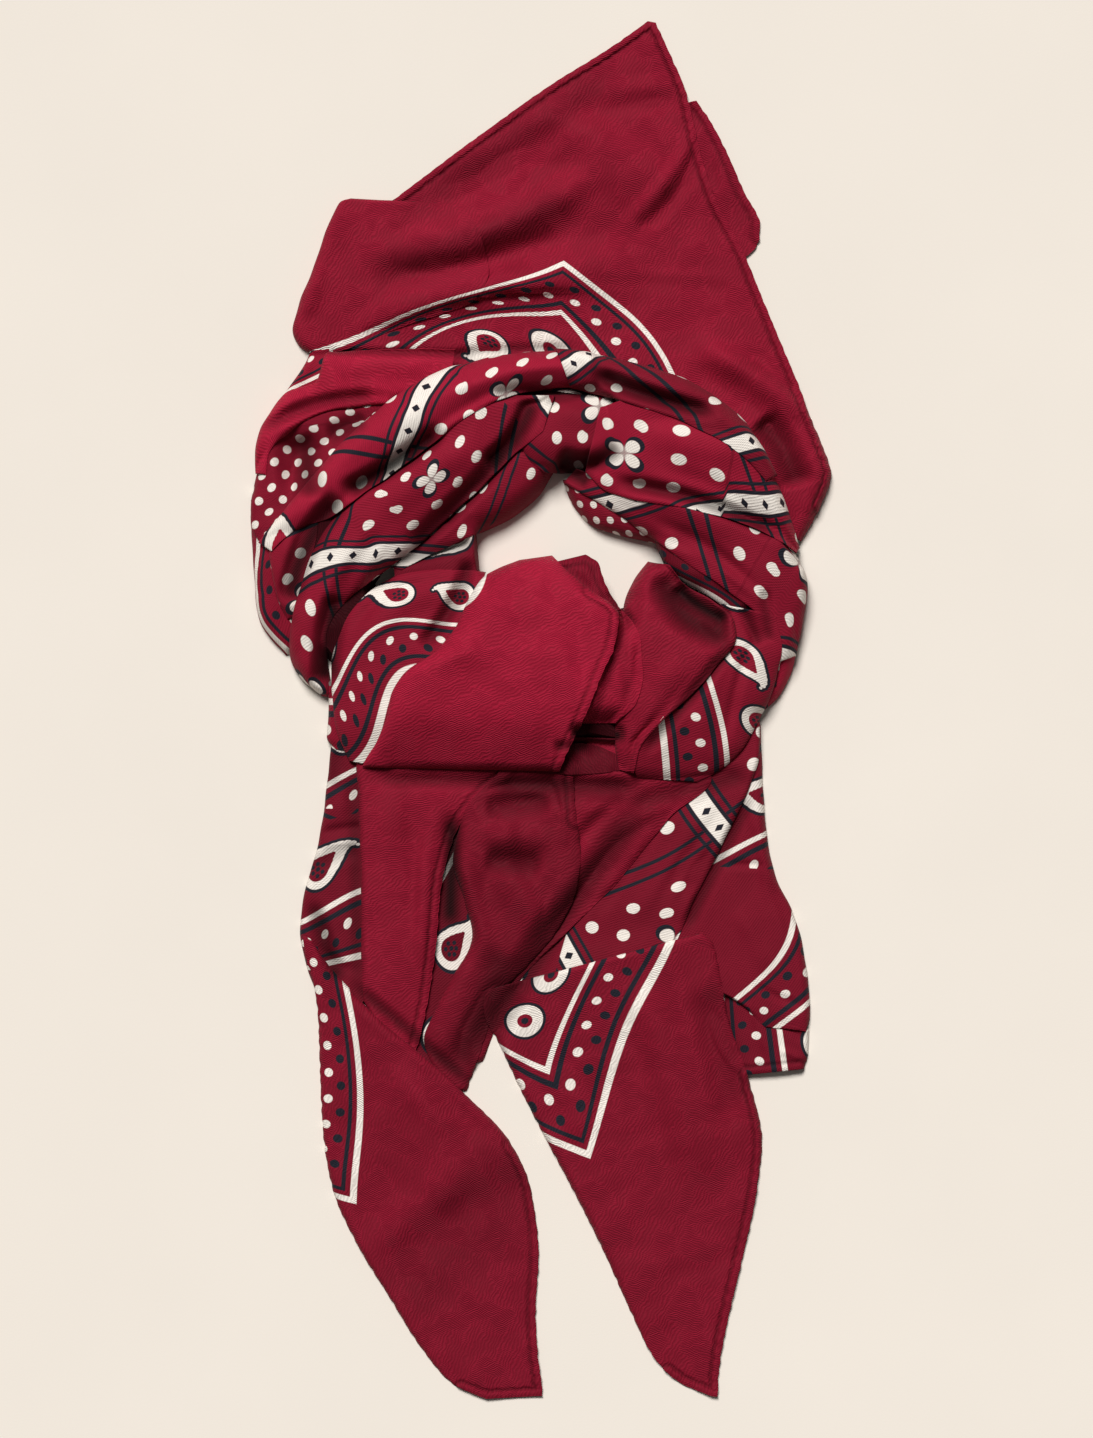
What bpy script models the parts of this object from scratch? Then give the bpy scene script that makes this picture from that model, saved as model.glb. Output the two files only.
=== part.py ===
"""A 1.4 m square bandana, folded corner to corner, wound into a neck loop, knotted and laid flat.

Each visible stretch of the cloth is one wall, lofted through a short table of sections. Table sizes are in
millimetres, seen from above: x to the right, y away from the tails, z up from the surface it lies on.
"""

from collections import namedtuple

import bmesh
import bpy
import numpy as np
from mathutils import Vector
from mathutils.bvhtree import BVHTree

MM = 0.001
WALL = 2.0  # thickness of a stretch of cloth
SEAM = 0.3  # gap between neighbouring stretches
SEAT = 0.5  # gap between a stretch and the hidden layers under it
LEAST_WALL = 1.0  # thickness kept where a stretch thins over what lies under it
OVERLAP = 1.0  # how far a hollow reaches past a flat edge
TOE = 0.3  # height of a turned edge where it meets the surface
DIP = 0.2  # how far a hollow lies below a wall that rests on the surface
HOLLOW_SHARE = 0.75  # cells of a hollow, for each one of its outer face
MOST_INSET = 0.3  # share of a stretch's width that each side's wall may take up
LEAST_TURN = 0.05  # a narrower turn counts as none
LEAST_LEAN = 0.12  # share of its half width that a fold keeps on the side it leans away from
FOLD_STEPS = 24  # points along a fold's line
CUTTER_DEPTH = 4.0  # how far a cutter reaches below the surface

BURGUNDY = (0.30, 0.012, 0.032, 1.0)
PLUM = (0.22, 0.008, 0.024, 1.0)
CLOTH_ROUGHNESS = 0.85

# Columns of a section: the stretch's left and right edge, the height of the cloth beside each edge, and the
# width over which it turns down to what it lies on. A turn of 0 is a hem, or an edge that another covers.
Section = namedtuple("Section", "left_x left_y right_x right_y left_top right_top left_turn right_turn")
# Columns of a fold: its start and end, how far its middle bows to the left of that line, half its width, its
# height, and its lean: at 1 all of its width lies to the right of the line, at -1 to the left.
Fold = namedtuple("Fold", "start_x start_y end_x end_y bow half_width height lean")
# A stretch has a grid of along by across cells. Its sections run from its start to its end.
Stretch = namedtuple("Stretch", "name along across start_turn end_turn sections folds")


def smooth_rows(rows, count):
    """The table's columns at count + 1 even stations, on a curve that never swings past the given rows."""
    table = np.array(rows, float)
    moves = np.diff(table[:, 0:4], axis=0)
    steps = np.maximum(np.hypot(moves[:, 0], moves[:, 1]), np.hypot(moves[:, 2], moves[:, 3]))
    stations = np.concatenate([[0.0], np.cumsum(steps)])
    rates = np.diff(table, axis=0) / steps[:, None]
    before, after = rates[:-1], rates[1:]
    shared = before * after > 0
    mean = 2 * before * after / np.where(shared, before + after, 1.0)
    slopes = np.vstack([rates[:1], np.where(shared, mean, 0.0), rates[-1:]])
    wanted = np.linspace(0.0, stations[-1], count + 1)
    row = np.clip(np.searchsorted(stations, wanted, side="right") - 1, 0, len(stations) - 2)
    gap = steps[row][:, None]
    t = (wanted - stations[row])[:, None] / gap
    smooth = (
        (2 * t**3 - 3 * t**2 + 1) * table[row]
        + (t**3 - 2 * t**2 + t) * gap * slopes[row]
        + (3 * t**2 - 2 * t**3) * table[row + 1]
        + (t**3 - t**2) * gap * slopes[row + 1]
    )
    return Section(*smooth.T), wanted


def turn(distance, width):
    """0 at an edge and 1 at width from it, on a quarter ellipse. A width of 0 gives 1 throughout."""
    inside = np.clip(distance / np.maximum(width, 1e-6), 0.0, 1.0)
    return np.where(width > LEAST_TURN, np.sqrt(1.0 - (1.0 - inside) ** 2), 1.0)


def fold_height(folds, x, y):
    """Height that the folds add at x, y: a rounded ridge along a bowed line, fading towards its ends."""
    total = np.zeros_like(x)
    t = np.linspace(0.0, 1.0, FOLD_STEPS + 1)
    for fold in (Fold(*row) for row in folds):
        run_x, run_y = fold.end_x - fold.start_x, fold.end_y - fold.start_y
        side = np.array([-run_y, run_x]) / np.hypot(run_x, run_y)
        bow = fold.bow * 4 * t * (1 - t)
        line_x = fold.start_x + run_x * t + side[0] * bow
        line_y = fold.start_y + run_y * t + side[1] * bow
        away_x = x[..., None] - line_x
        away_y = y[..., None] - line_y
        nearest = np.argmin(away_x**2 + away_y**2, axis=-1)
        pick = np.take_along_axis
        off_x = pick(away_x, nearest[..., None], -1)[..., 0]
        off_y = pick(away_y, nearest[..., None], -1)[..., 0]
        left = np.sign(off_x * side[0] + off_y * side[1])
        reach = fold.half_width * np.maximum(1.0 - fold.lean * left, LEAST_LEAN)
        across = np.clip(np.hypot(off_x, off_y) / reach, 0.0, 1.0)
        fade = np.clip(3.0 * np.minimum(nearest, FOLD_STEPS - nearest) / FOLD_STEPS, 0.0, 1.0)
        total += fold.height * np.cos(across * np.pi / 2) ** 2 * np.sin(fade * np.pi / 2) ** 2
    return total


def moved_in(turned):
    """How far the inner face's edge lies inside the outer one's. At a flat edge it reaches past it."""
    return np.clip(1.5 * turned - OVERLAP, -OVERLAP, WALL)


def sheet(stretch, under, inner=False):
    """Grid of points of a stretch's face: the outer one, or the inner one that hollows it.

    under(x, y) is the height that the cloth rests on.
    """
    fineness = HOLLOW_SHARE if inner else 1.0
    line, stations = smooth_rows(stretch.sections, max(3, round(stretch.along * fineness)))
    left = np.stack([line.left_x, line.left_y], axis=1)
    right = np.stack([line.right_x, line.right_y], axis=1)
    left_turn, right_turn = line.left_turn, line.right_turn
    across = right - left
    width = np.linalg.norm(across, axis=1)
    heading = across / width[:, None]
    if inner:
        left_in = np.minimum(moved_in(left_turn), MOST_INSET * width)
        right_in = np.minimum(moved_in(right_turn), MOST_INSET * width)
        left += heading * left_in[:, None]
        right -= heading * right_in[:, None]
        width = width - left_in - right_in
        left_turn = np.maximum(left_turn - left_in, 0.0) * (left_turn > 0)
        right_turn = np.maximum(right_turn - right_in, 0.0) * (right_turn > 0)

    columns = max(3, round(stretch.across * fineness)) + 1
    share = 0.5 - 0.5 * np.cos(np.linspace(0.0, np.pi, columns))
    x = left[:, None, 0] + (right - left)[:, None, 0] * share
    y = left[:, None, 1] + (right - left)[:, None, 1] * share
    if inner:
        for edge, beside, turned in ((0, 1, stretch.start_turn), (-1, -2, stretch.end_turn)):
            step = np.stack([x[beside] - x[edge], y[beside] - y[edge]])
            length = np.maximum(np.linalg.norm(step, axis=0), 1e-6)
            move = np.minimum(moved_in(turned), 0.5 * length)
            x[edge] += step[0] / length * move
            y[edge] += step[1] / length * move

    top = line.left_top[:, None] + (line.right_top - line.left_top)[:, None] * share
    top = top + fold_height(stretch.folds, x, y)
    rise = turn(share * width[:, None], left_turn[:, None])
    rise = rise * turn((1 - share) * width[:, None], right_turn[:, None])
    length = stations[-1]
    rise = rise * turn(stations, np.full_like(stations, stretch.start_turn))[:, None]
    rise = rise * turn(length - stations, np.full_like(stations, stretch.end_turn))[:, None]
    floor = under(x, y)
    if inner:
        z = floor + np.maximum(top - WALL - floor, 0.0) * rise - DIP
    else:
        z = floor + np.maximum(top - floor, WALL) * rise
    return np.stack([x, y, z], axis=-1)


def grown(grid, amount):
    """The face moved out by amount: along its normals, and at its edges both sideways and up."""
    along, across = np.gradient(grid, axis=0), np.gradient(grid, axis=1)
    normal = np.cross(along, across)
    normal *= np.sign(normal[..., 2:3])
    normal /= np.maximum(np.linalg.norm(normal, axis=2, keepdims=True), 1e-9)
    moved = grid + normal * amount
    sides = (
        (moved[0], grid[0], grid[1]),
        (moved[-1], grid[-1], grid[-2]),
        (moved[:, 0], grid[:, 0], grid[:, 1]),
        (moved[:, -1], grid[:, -1], grid[:, -2]),
    )
    for edge, old, _ in sides:
        edge[:] = old + np.array([0.0, 0.0, amount])
    for edge, old, inner in sides:
        out = old[:, :2] - inner[:, :2]
        edge[:, :2] += out / np.maximum(np.linalg.norm(out, axis=1, keepdims=True), 1e-9) * amount
    return moved


def height_below(tree, x, y, above, missing):
    """Heights of a surface straight below each x, y, raised by above, or missing where it isn't there."""
    heights = np.full_like(x, missing)
    for index in np.ndindex(*x.shape):
        start = Vector((x[index] * MM, y[index] * MM, 1.0))
        hit = tree.ray_cast(start, Vector((0.0, 0.0, -1.0)))[0]
        if hit is not None:
            heights[index] = hit.z / MM + above
    return heights


def inner_sheet(stretch, under, outer):
    """The inner face of the wall, kept below the outer one."""
    inner = sheet(stretch, under, inner=True)
    rows, columns = outer.shape[:2]
    corners = [Vector(point) * MM for point in outer.reshape(-1, 3)]
    tree = BVHTree.FromPolygons(corners, grid_faces(rows, columns, 0, False))
    highest = height_below(tree, inner[..., 0], inner[..., 1], -LEAST_WALL, 1000.0)
    inner[..., 2] = np.minimum(inner[..., 2], highest)
    return inner


def grid_faces(rows, columns, first, flip):
    """Triangles over a grid of points that starts at index first."""
    faces = []
    for i in range(rows - 1):
        for j in range(columns - 1):
            a = first + i * columns + j
            for face in ((a, a + 1, a + columns + 1), (a, a + columns + 1, a + columns)):
                faces.append(face[::-1] if flip else face)
    return faces


def rim(rows, columns):
    """Indices around a grid's border."""
    top = [j for j in range(columns)]
    right = [i * columns + columns - 1 for i in range(1, rows)]
    bottom = [(rows - 1) * columns + j for j in range(columns - 2, -1, -1)]
    left = [i * columns for i in range(rows - 2, 0, -1)]
    return top + right + bottom + left


def closed_object(name, outer, inner, collection, material):
    """A closed mesh between two grids of the same size, joined round their border."""
    rows, columns = outer.shape[:2]
    count = rows * columns
    points = np.concatenate([outer.reshape(-1, 3), inner.reshape(-1, 3)]) * MM
    faces = grid_faces(rows, columns, 0, False) + grid_faces(rows, columns, count, True)
    border = rim(rows, columns)
    for a, b in zip(border, border[1:] + border[:1]):
        faces.append((b, a, a + count, b + count))
    mesh = bpy.data.meshes.new(name)
    mesh.from_pydata([tuple(p) for p in points], [], faces)
    shape = bmesh.new()
    shape.from_mesh(mesh)
    bmesh.ops.remove_doubles(shape, verts=shape.verts, dist=2e-5)
    if shape.calc_volume(signed=True) < 0:
        bmesh.ops.reverse_faces(shape, faces=shape.faces)
    shape.to_mesh(mesh)
    shape.free()
    obj = bpy.data.objects.new(name, mesh)
    if material:
        mesh.materials.append(material)
    collection.objects.link(obj)
    return obj


def cloth_material(name, colour):
    material = bpy.data.materials.new(name)
    material.use_nodes = True
    shader = material.node_tree.nodes["Principled BSDF"]
    shader.inputs["Base Color"].default_value = colour
    shader.inputs["Roughness"].default_value = CLOTH_ROUGHNESS
    material.diffuse_color = colour
    return material


def flat_ground(x, y):
    return np.zeros_like(x)


def boolean(obj, other, operation):
    modifier = obj.modifiers.new(operation.title() + " " + other.name, "BOOLEAN")
    modifier.operation = operation
    # The exact solver leaves open or empty solids where these curved sheets nearly touch.
    modifier.solver = "MANIFOLD"
    modifier.object = other
    return modifier


def filled(name, face, bottom, collection, material=None):
    """A closed solid from the face straight down to the height bottom."""
    base = face.copy()
    base[..., 2] = bottom
    return closed_object(name, face, base, collection, material)


def joined_lofts(name, grow, depth, home, helpers, material):
    """The rounded lofts of the hidden layers as one object, each grown and reaching depth below 0."""
    made = []
    for loft in HIDDEN:
        face = sheet(loft, flat_ground)
        face[..., 2] = np.maximum(face[..., 2], TOE)
        face = grown(face, grow)
        own_name = name if not made else name + "_" + loft.name
        made.append(filled(own_name, face, -depth, helpers if made else home, material))
    for other in made[1:]:
        boolean(made[0], other, "UNION")
    return made[0]


def keep_main_body(obj, graph):
    """Applies the object's modifiers, and keeps only the largest of the bodies that its cutters left."""
    mesh = bpy.data.meshes.new_from_object(obj.evaluated_get(graph))
    shape = bmesh.new()
    shape.from_mesh(mesh)
    unseen = set(shape.verts)
    bodies = []
    while unseen:
        body = {unseen.pop()}
        fresh = list(body)
        while fresh:
            point = fresh.pop()
            for edge in point.link_edges:
                other = edge.other_vert(point)
                if other in unseen:
                    unseen.remove(other)
                    body.add(other)
                    fresh.append(other)
        bodies.append(body)
    bodies.sort(key=len)
    for body in bodies[:-1]:
        bmesh.ops.delete(shape, geom=list(body), context="VERTS")
    shape.to_mesh(mesh)
    shape.free()
    obj.modifiers.clear()
    obj.data = mesh


def boxes_meet(a, b):
    low_a, high_a = np.array(a.bound_box).min(axis=0), np.array(a.bound_box).max(axis=0)
    low_b, high_b = np.array(b.bound_box).min(axis=0), np.array(b.bound_box).max(axis=0)
    return bool((low_a[:2] < high_b[:2]).all() and (low_b[:2] < high_a[:2]).all())


# The hidden layers: rounded lofts through the loop, the knot and the top of each tail, joined into one.
HIDDEN = [
    Stretch("hidden_loop", 18, 4, 12, 12, [
        (-130, -12, -100, -8, 14, 14, 12, 12),
        (-134, 30, -98, 36, 18, 18, 14, 14),
        (-166, 58, -104, 62, 20, 20, 18, 18),
        (-180, 92, -110, 88, 21, 21, 20, 20),
        (-178, 128, -92, 108, 22, 22, 22, 22),
        (-160, 168, -66, 128, 24, 24, 22, 22),
        (-122, 196, -42, 144, 25, 25, 22, 22),
        (-70, 212, -18, 158, 26, 26, 22, 22),
        (-20, 220, 2, 168, 26, 26, 22, 22),
        (28, 220, 26, 166, 26, 26, 22, 22),
        (74, 208, 50, 154, 26, 26, 22, 22),
        (114, 188, 76, 136, 25, 25, 22, 22),
        (142, 156, 98, 116, 24, 24, 20, 20),
        (158, 118, 108, 92, 22, 22, 20, 20),
        (162, 78, 104, 66, 20, 20, 18, 18),
        (150, 36, 98, 34, 18, 18, 16, 16),
        (132, -4, 92, 2, 14, 14, 14, 14),
    ], []),
    Stretch("hidden_knot", 10, 6, 16, 16, [
        (-128, 22, -124, -22, 12, 12, 14, 12),
        (-96, 46, -96, -26, 20, 20, 16, 12),
        (-50, 64, -50, -28, 26, 26, 20, 12),
        (-4, 82, -2, -28, 28, 28, 22, 12),
        (38, 62, 34, -20, 24, 24, 20, 12),
        (72, 72, 66, -28, 20, 20, 20, 12),
        (104, 52, 98, -32, 18, 18, 20, 12),
        (134, 20, 124, -20, 12, 12, 14, 10),
    ], []),
    Stretch("hidden_left_tail", 6, 4, 0, 12, [
        (-112, -20, 10, -22, 8, 8, 8, 8),
        (-110, -80, 14, -78, 6, 6, 8, 8),
        (-108, -130, 0, -124, 5, 5, 8, 8),
        (-104, -176, -40, -168, 4, 4, 8, 8),
    ], []),
    Stretch("hidden_right_tail", 6, 4, 0, 12, [
        (20, -22, 134, -26, 8, 8, 8, 8),
        (18, -72, 138, -70, 6, 6, 8, 8),
        (4, -110, 140, -112, 5, 5, 8, 8),
        (12, -140, 146, -146, 4, 4, 8, 8),
    ], []),
]

# The stretches that show, from the lowest to the highest. Where two meet, the higher one cuts the lower.
STRETCHES = [
    Stretch("back_point_under", 4, 3, 0, 0, [
        (99, 405, 104, 406, 2, 2, 0, 0),
        (96, 392, 113, 393, 2, 2, 0, 0),
        (98, 368, 125, 370, 2, 2, 0, 0),
        (104, 343, 136, 345, 2, 2, 0, 0),
        (112, 322, 147, 321, 2, 2, 0, 0),
        (124, 304, 142, 304, 2, 2, 0, 0),
    ], []),
    Stretch("back_point", 14, 8, 0, 0, [
        (72, 459, 77, 458, 2, 2, 0, 0),
        (48, 442, 87, 436, 2, 2, 0, 0),
        (8, 417, 97, 412, 2, 3, 0, 0),
        (-44, 380, 106, 374, 2, 4, 0, 0),
        (-92, 344, 116, 342, 2, 4, 0, 0),
        (-132, 312, 134, 308, 3, 3, 0, 0),
        (-140, 272, 149, 272, 4, 3, 0, 0),
        (-150, 240, 163, 238, 6, 4, 0, 0),
        (-110, 226, 173, 214, 8, 5, 0, 0),
        (20, 210, 181, 193, 12, 8, 0, 4),
        (92, 192, 189, 174, 16, 14, 0, 10),
        (128, 172, 194, 156, 20, 18, 0, 14),
        (145, 148, 188, 138, 18, 16, 0, 12),
        (158, 120, 174, 112, 10, 10, 0, 6),
    ], [
        (-20, 400, 100, 330, 10, 26, 8, 0.2),
        (-110, 300, 70, 360, -14, 30, 10, -0.3),
        (-120, 268, 90, 300, 6, 26, 8, 0.2),
        (-142, 244, 46, 279, 14, 12, 9, -0.7),
        (96, 246, 186, 178, 8, 16, 9, 0.2),
    ]),
    Stretch("back_shoulder_fold", 6, 4, 7, 0, [
        (-132, 341, -52, 337, 7, 3, 4, 0),
        (-141, 324, -40, 320, 9, 3, 7, 0),
        (-150, 298, -34, 292, 10, 3, 8, 0),
        (-160, 272, -44, 272, 10, 4, 8, 0),
        (-165, 254, -70, 262, 10, 6, 8, 0),
        (-161, 243, -100, 252, 10, 8, 8, 0),
        (-149, 236, -128, 240, 9, 9, 6, 0),
    ], []),
    Stretch("wrap_left_corner", 4, 3, 0, 0, [
        (-152, 239, -138, 240, 9, 12, 4, 0),
        (-161, 224, -136, 226, 10, 14, 4, 0),
        (-170, 211, -146, 212, 9, 14, 4, 0),
    ], []),
    Stretch("wrap_left_outer", 7, 4, 3, 6, [
        (-192.5, 140, -178, 136, 10, 14, 5, 0),
        (-192.5, 122, -172, 118, 15, 17, 8, 0),
        (-191, 98, -168, 98, 17, 17, 9, 0),
        (-190, 78, -166, 80, 17, 16, 9, 4),
        (-187, 60, -164, 66, 15, 15, 9, 6),
        (-180, 48, -161, 54, 12, 13, 8, 6),
        (-169, 36, -158, 44, 8, 8, 5, 5),
    ], []),
    Stretch("wrap_left_pocket", 6, 4, 0, 0, [
        (-150, 206, -100, 205, 18, 22, 0, 0),
        (-174, 188, -108, 192, 18, 20, 0, 0),
        (-186, 166, -124, 172, 14, 14, 5, 0),
        (-190, 152, -138, 154, 15, 13, 6, 0),
        (-192.5, 138, -150, 138, 16, 15, 6, 0),
        (-192, 122, -168, 124, 16, 20, 6, 0),
        (-184, 108, -174, 112, 14, 16, 4, 0),
    ], [
        (-168, 196, -160, 140, 0, 14, -7, 0),
    ]),
    Stretch("wrap_left_plain", 7, 4, 0, 4, [
        (-56, 239, -62, 204, 22, 26, 0, 0),
        (-104, 239, -106, 202, 24, 28, 0, 12),
        (-141, 238, -130, 200, 24, 28, 5, 13),
        (-149, 218, -144, 197, 22, 26, 6, 10),
        (-168, 212, -155, 192, 21, 24, 9, 10),
        (-180, 198, -167, 184, 20, 22, 9, 8),
        (-187, 186, -176, 176, 18, 18, 7, 5),
        (-190, 172, -181, 167, 15, 14, 4, 3),
        (-189, 157, -182, 156, 8, 8, 3, 3),
    ], []),
    Stretch("wrap_left_roll", 6, 4, 0, 5, [
        (-178, 124, -146, 134, 20, 24, 0, 10),
        (-180, 108, -148, 116, 26, 26, 12, 12),
        (-178, 92, -152, 98, 27, 27, 12, 12),
        (-174, 74, -156, 80, 25, 25, 9, 9),
        (-168, 60, -159, 62, 16, 16, 4, 4),
    ], []),
    Stretch("wrap_left_inner", 7, 4, 0, 5, [
        (0, 184, 9, 158, 26, 22, 0, 9),
        (-20, 172, -2, 141, 28, 22, 0, 10),
        (-40, 152, -22, 126, 28, 22, 0, 10),
        (-62, 132, -48, 114, 27, 21, 0, 10),
        (-86, 114, -72, 103, 25, 19, 0, 8),
        (-104, 96, -92, 93, 20, 14, 0, 5),
    ], []),
    Stretch("wrap_bulge", 6, 6, 4, 6, [
        (-6, 209, 46, 209, 26, 26, 10, 10),
        (-14, 194, 52, 196, 34, 32, 18, 14),
        (-14, 180, 50, 180, 36, 34, 20, 16),
        (-8, 167, 42, 167, 32, 32, 18, 14),
        (3, 157, 30, 158, 20, 20, 10, 10),
    ], []),
    Stretch("wrap_left_second", 14, 6, 0, 6, [
        (10, 208, 2, 184, 30, 28, 0, 8),
        (-18, 208, -18, 168, 38, 34, 0, 14),
        (-46, 196, -38, 148, 42, 38, 0, 18),
        (-76, 174, -60, 128, 42, 38, 0, 18),
        (-106, 152, -82, 108, 40, 36, 0, 18),
        (-132, 132, -106, 90, 36, 34, 8, 16),
        (-148, 110, -124, 76, 33, 31, 12, 14),
        (-158, 84, -137, 62, 30, 28, 12, 12),
        (-165, 58, -142, 46, 27, 25, 12, 11),
        (-167, 38, -141, 30, 24, 22, 12, 11),
        (-160, 22, -139, 16, 18, 18, 9, 9),
        (-145, 9, -137, 8, 9, 9, 4, 4),
    ], []),
    Stretch("wrap_left_main", 14, 6, 6, 0, [
        (-187, 111, -178, 105, 20, 20, 4, 4),
        (-171, 131, -162, 119, 30, 30, 7, 7),
        (-153, 152, -138, 128, 38, 38, 14, 14),
        (-134, 174, -112, 146, 44, 44, 18, 18),
        (-112, 195, -88, 163, 48, 48, 20, 20),
        (-88, 213, -64, 181, 49, 49, 20, 20),
        (-60, 227, -42, 197, 47, 47, 18, 18),
        (-26, 236, -16, 208, 44, 44, 16, 16),
        (6, 239, 10, 213, 41, 41, 14, 14),
        (34, 237, 32, 214, 37, 37, 12, 10),
    ], []),
    Stretch("wrap_right_under", 4, 4, 3, 3, [
        (26, 156, 15, 153, 16, 12, 0, 5),
        (40, 144, 22, 136, 18, 12, 0, 7),
        (56, 132, 38, 121, 18, 12, 0, 7),
        (72, 124, 58, 115, 18, 12, 0, 6),
        (90, 116, 82, 110, 16, 12, 0, 4),
    ], []),
    Stretch("wrap_right_end", 6, 4, 0, 8, [
        (150, 90, 176, 92, 24, 22, 0, 8),
        (148, 68, 175, 70, 24, 20, 0, 10),
        (146, 48, 172, 46, 22, 18, 0, 10),
        (144, 30, 168, 26, 18, 14, 0, 10),
        (142, 14, 159, 9, 13, 11, 0, 8),
        (142, 2, 150, 0, 8, 8, 0, 4),
    ], []),
    Stretch("wrap_right_inner", 6, 4, 4, 8, [
        (76, 112, 84, 94, 20, 18, 0, 4),
        (98, 104, 96, 82, 26, 24, 0, 8),
        (120, 96, 114, 73, 28, 26, 0, 10),
        (142, 84, 130, 60, 28, 26, 0, 10),
        (156, 66, 141, 45, 26, 24, 4, 8),
        (160, 42, 147, 29, 22, 20, 6, 6),
        (157, 16, 150, 12, 10, 10, 3, 3),
    ], []),
    Stretch("wrap_right_lower", 10, 5, 4, 8, [
        (24, 160, 15, 151, 16, 16, 0, 4),
        (46, 152, 38, 138, 26, 22, 0, 9),
        (72, 145, 64, 121, 32, 26, 0, 13),
        (100, 139, 86, 105, 36, 28, 0, 15),
        (128, 130, 108, 90, 38, 30, 0, 16),
        (152, 118, 128, 76, 36, 30, 0, 16),
        (172, 101, 146, 62, 30, 28, 8, 14),
        (178, 82, 157, 50, 24, 24, 11, 12),
        (175, 58, 158, 43, 18, 18, 8, 8),
        (170, 36, 159, 32, 9, 9, 4, 4),
    ], []),
    Stretch("wrap_right_front", 10, 6, 0, 5, [
        (40, 200, 30, 158, 28, 22, 0, 7),
        (58, 205, 45, 144, 40, 30, 0, 12),
        (80, 202, 66, 138, 46, 36, 0, 15),
        (104, 196, 92, 134, 48, 40, 0, 17),
        (128, 184, 118, 128, 47, 40, 0, 17),
        (148, 168, 142, 120, 42, 36, 8, 16),
        (161, 142, 158, 112, 34, 30, 12, 12),
        (173, 108, 170, 104, 14, 14, 3, 3),
    ], []),
    Stretch("wrap_right_top", 10, 5, 8, 5, [
        (10, 240, 20, 213, 36, 34, 8, 8),
        (35, 237, 40, 208, 43, 42, 13, 14),
        (62, 231, 62, 201, 48, 46, 14, 15),
        (92, 222, 86, 193, 50, 48, 15, 14),
        (120, 206, 106, 184, 50, 49, 15, 11),
        (138, 189, 124, 174, 47, 48, 13, 8),
        (148, 173, 138, 163, 44, 45, 9, 5),
        (157, 155, 149, 151, 38, 38, 3, 3),
    ], []),
    Stretch("knot_left_edge", 4, 3, 0, 4, [
        (-140, 16, -126, 16, 10, 14, 4, 0),
        (-141, 0, -126, 0, 10, 14, 4, 0),
        (-142, -18, -126, -18, 9, 12, 4, 0),
        (-136, -26, -126, -28, 7, 9, 4, 0),
    ], []),
    Stretch("knot_left_strip", 4, 3, 0, 0, [
        (-51, 112, -40, 113, 8, 8, 3, 3),
        (-54, 100, -39, 100, 9, 8, 3, 3),
        (-56, 88, -38, 88, 10, 9, 3, 3),
    ], []),
    Stretch("knot_left_band", 12, 5, 0, 0, [
        (-36, 92, -44, 56, 24, 30, 4, 0),
        (-70, 93, -64, 32, 26, 32, 8, 0),
        (-98, 88, -80, 24, 26, 32, 10, 0),
        (-120, 72, -90, 16, 25, 32, 12, 0),
        (-133, 50, -94, 8, 24, 32, 12, 0),
        (-139, 28, -96, 0, 23, 32, 12, 0),
        (-138, 6, -98, -10, 22, 31, 12, 0),
        (-135, -14, -102, -22, 20, 28, 12, 0),
        (-127, -34, -108, -37, 14, 22, 10, 0),
    ], []),
    Stretch("knot_right_band", 10, 6, 0, 6, [
        (120, 70, 156, 62, 26, 24, 0, 9),
        (108, 40, 160, 40, 30, 24, 0, 11),
        (96, 16, 155, 14, 32, 24, 0, 12),
        (82, -4, 146, -6, 32, 22, 0, 12),
        (66, -22, 134, -27, 31, 20, 0, 12),
        (62, -36, 118, -41, 26, 16, 0, 9),
        (64, -45, 104, -48, 18, 10, 0, 6),
    ], []),
    Stretch("knot_under_roll", 4, 4, 5, 5, [
        (8, -26, 8, -42, 14, 12, 5, 6),
        (24, -20, 24, -43, 17, 14, 9, 9),
        (38, -22, 40, -42, 17, 14, 8, 8),
        (52, -30, 54, -40, 12, 12, 4, 4),
    ], []),
    Stretch("knot_right_lobe", 10, 6, 6, 0, [
        (70, 99, 92, 92, 18, 22, 7, 0),
        (58, 78, 118, 76, 28, 32, 10, 12),
        (55, 66, 131, 60, 33, 38, 10, 14),
        (56, 48, 131, 44, 36, 38, 0, 14),
        (54, 28, 118, 27, 36, 36, 0, 14),
        (52, 8, 98, 8, 34, 34, 0, 13),
        (50, -10, 80, -8, 30, 32, 8, 12),
        (50, -26, 66, -26, 26, 26, 8, 8),
        (53, -40, 62, -42, 16, 16, 4, 4),
    ], []),
    Stretch("knot_tongue", 7, 4, 4, 7, [
        (40, 70, 52, 69, 26, 24, 0, 4),
        (38, 58, 62, 57, 34, 30, 0, 8),
        (34, 42, 67, 42, 38, 34, 0, 12),
        (28, 22, 68, 22, 39, 34, 0, 13),
        (22, 4, 63, 4, 36, 32, 0, 12),
        (24, -9, 50, -9, 22, 22, 6, 8),
    ], []),
    Stretch("knot_flap", 4, 4, 0, 0, [
        (2, 96, 30, 103, 28, 20, 0, 0),
        (10, 90, 38, 98, 32, 24, 0, 0),
        (16, 80, 43, 84, 35, 28, 0, 0),
        (26, 72, 49, 73, 38, 32, 0, 0),
        (34, 64, 54, 66, 40, 34, 0, 0),
    ], []),
    Stretch("knot_left_lobe", 16, 9, 10, 7, [
        (-14, 100, 8, 103, 26, 26, 10, 8),
        (-34, 91, 16, 94, 36, 36, 14, 10),
        (-46, 76, 30, 82, 42, 44, 14, 12),
        (-54, 58, 52, 62, 45, 48, 16, 0),
        (-70, 38, 49, 42, 46, 48, 18, 0),
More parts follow.
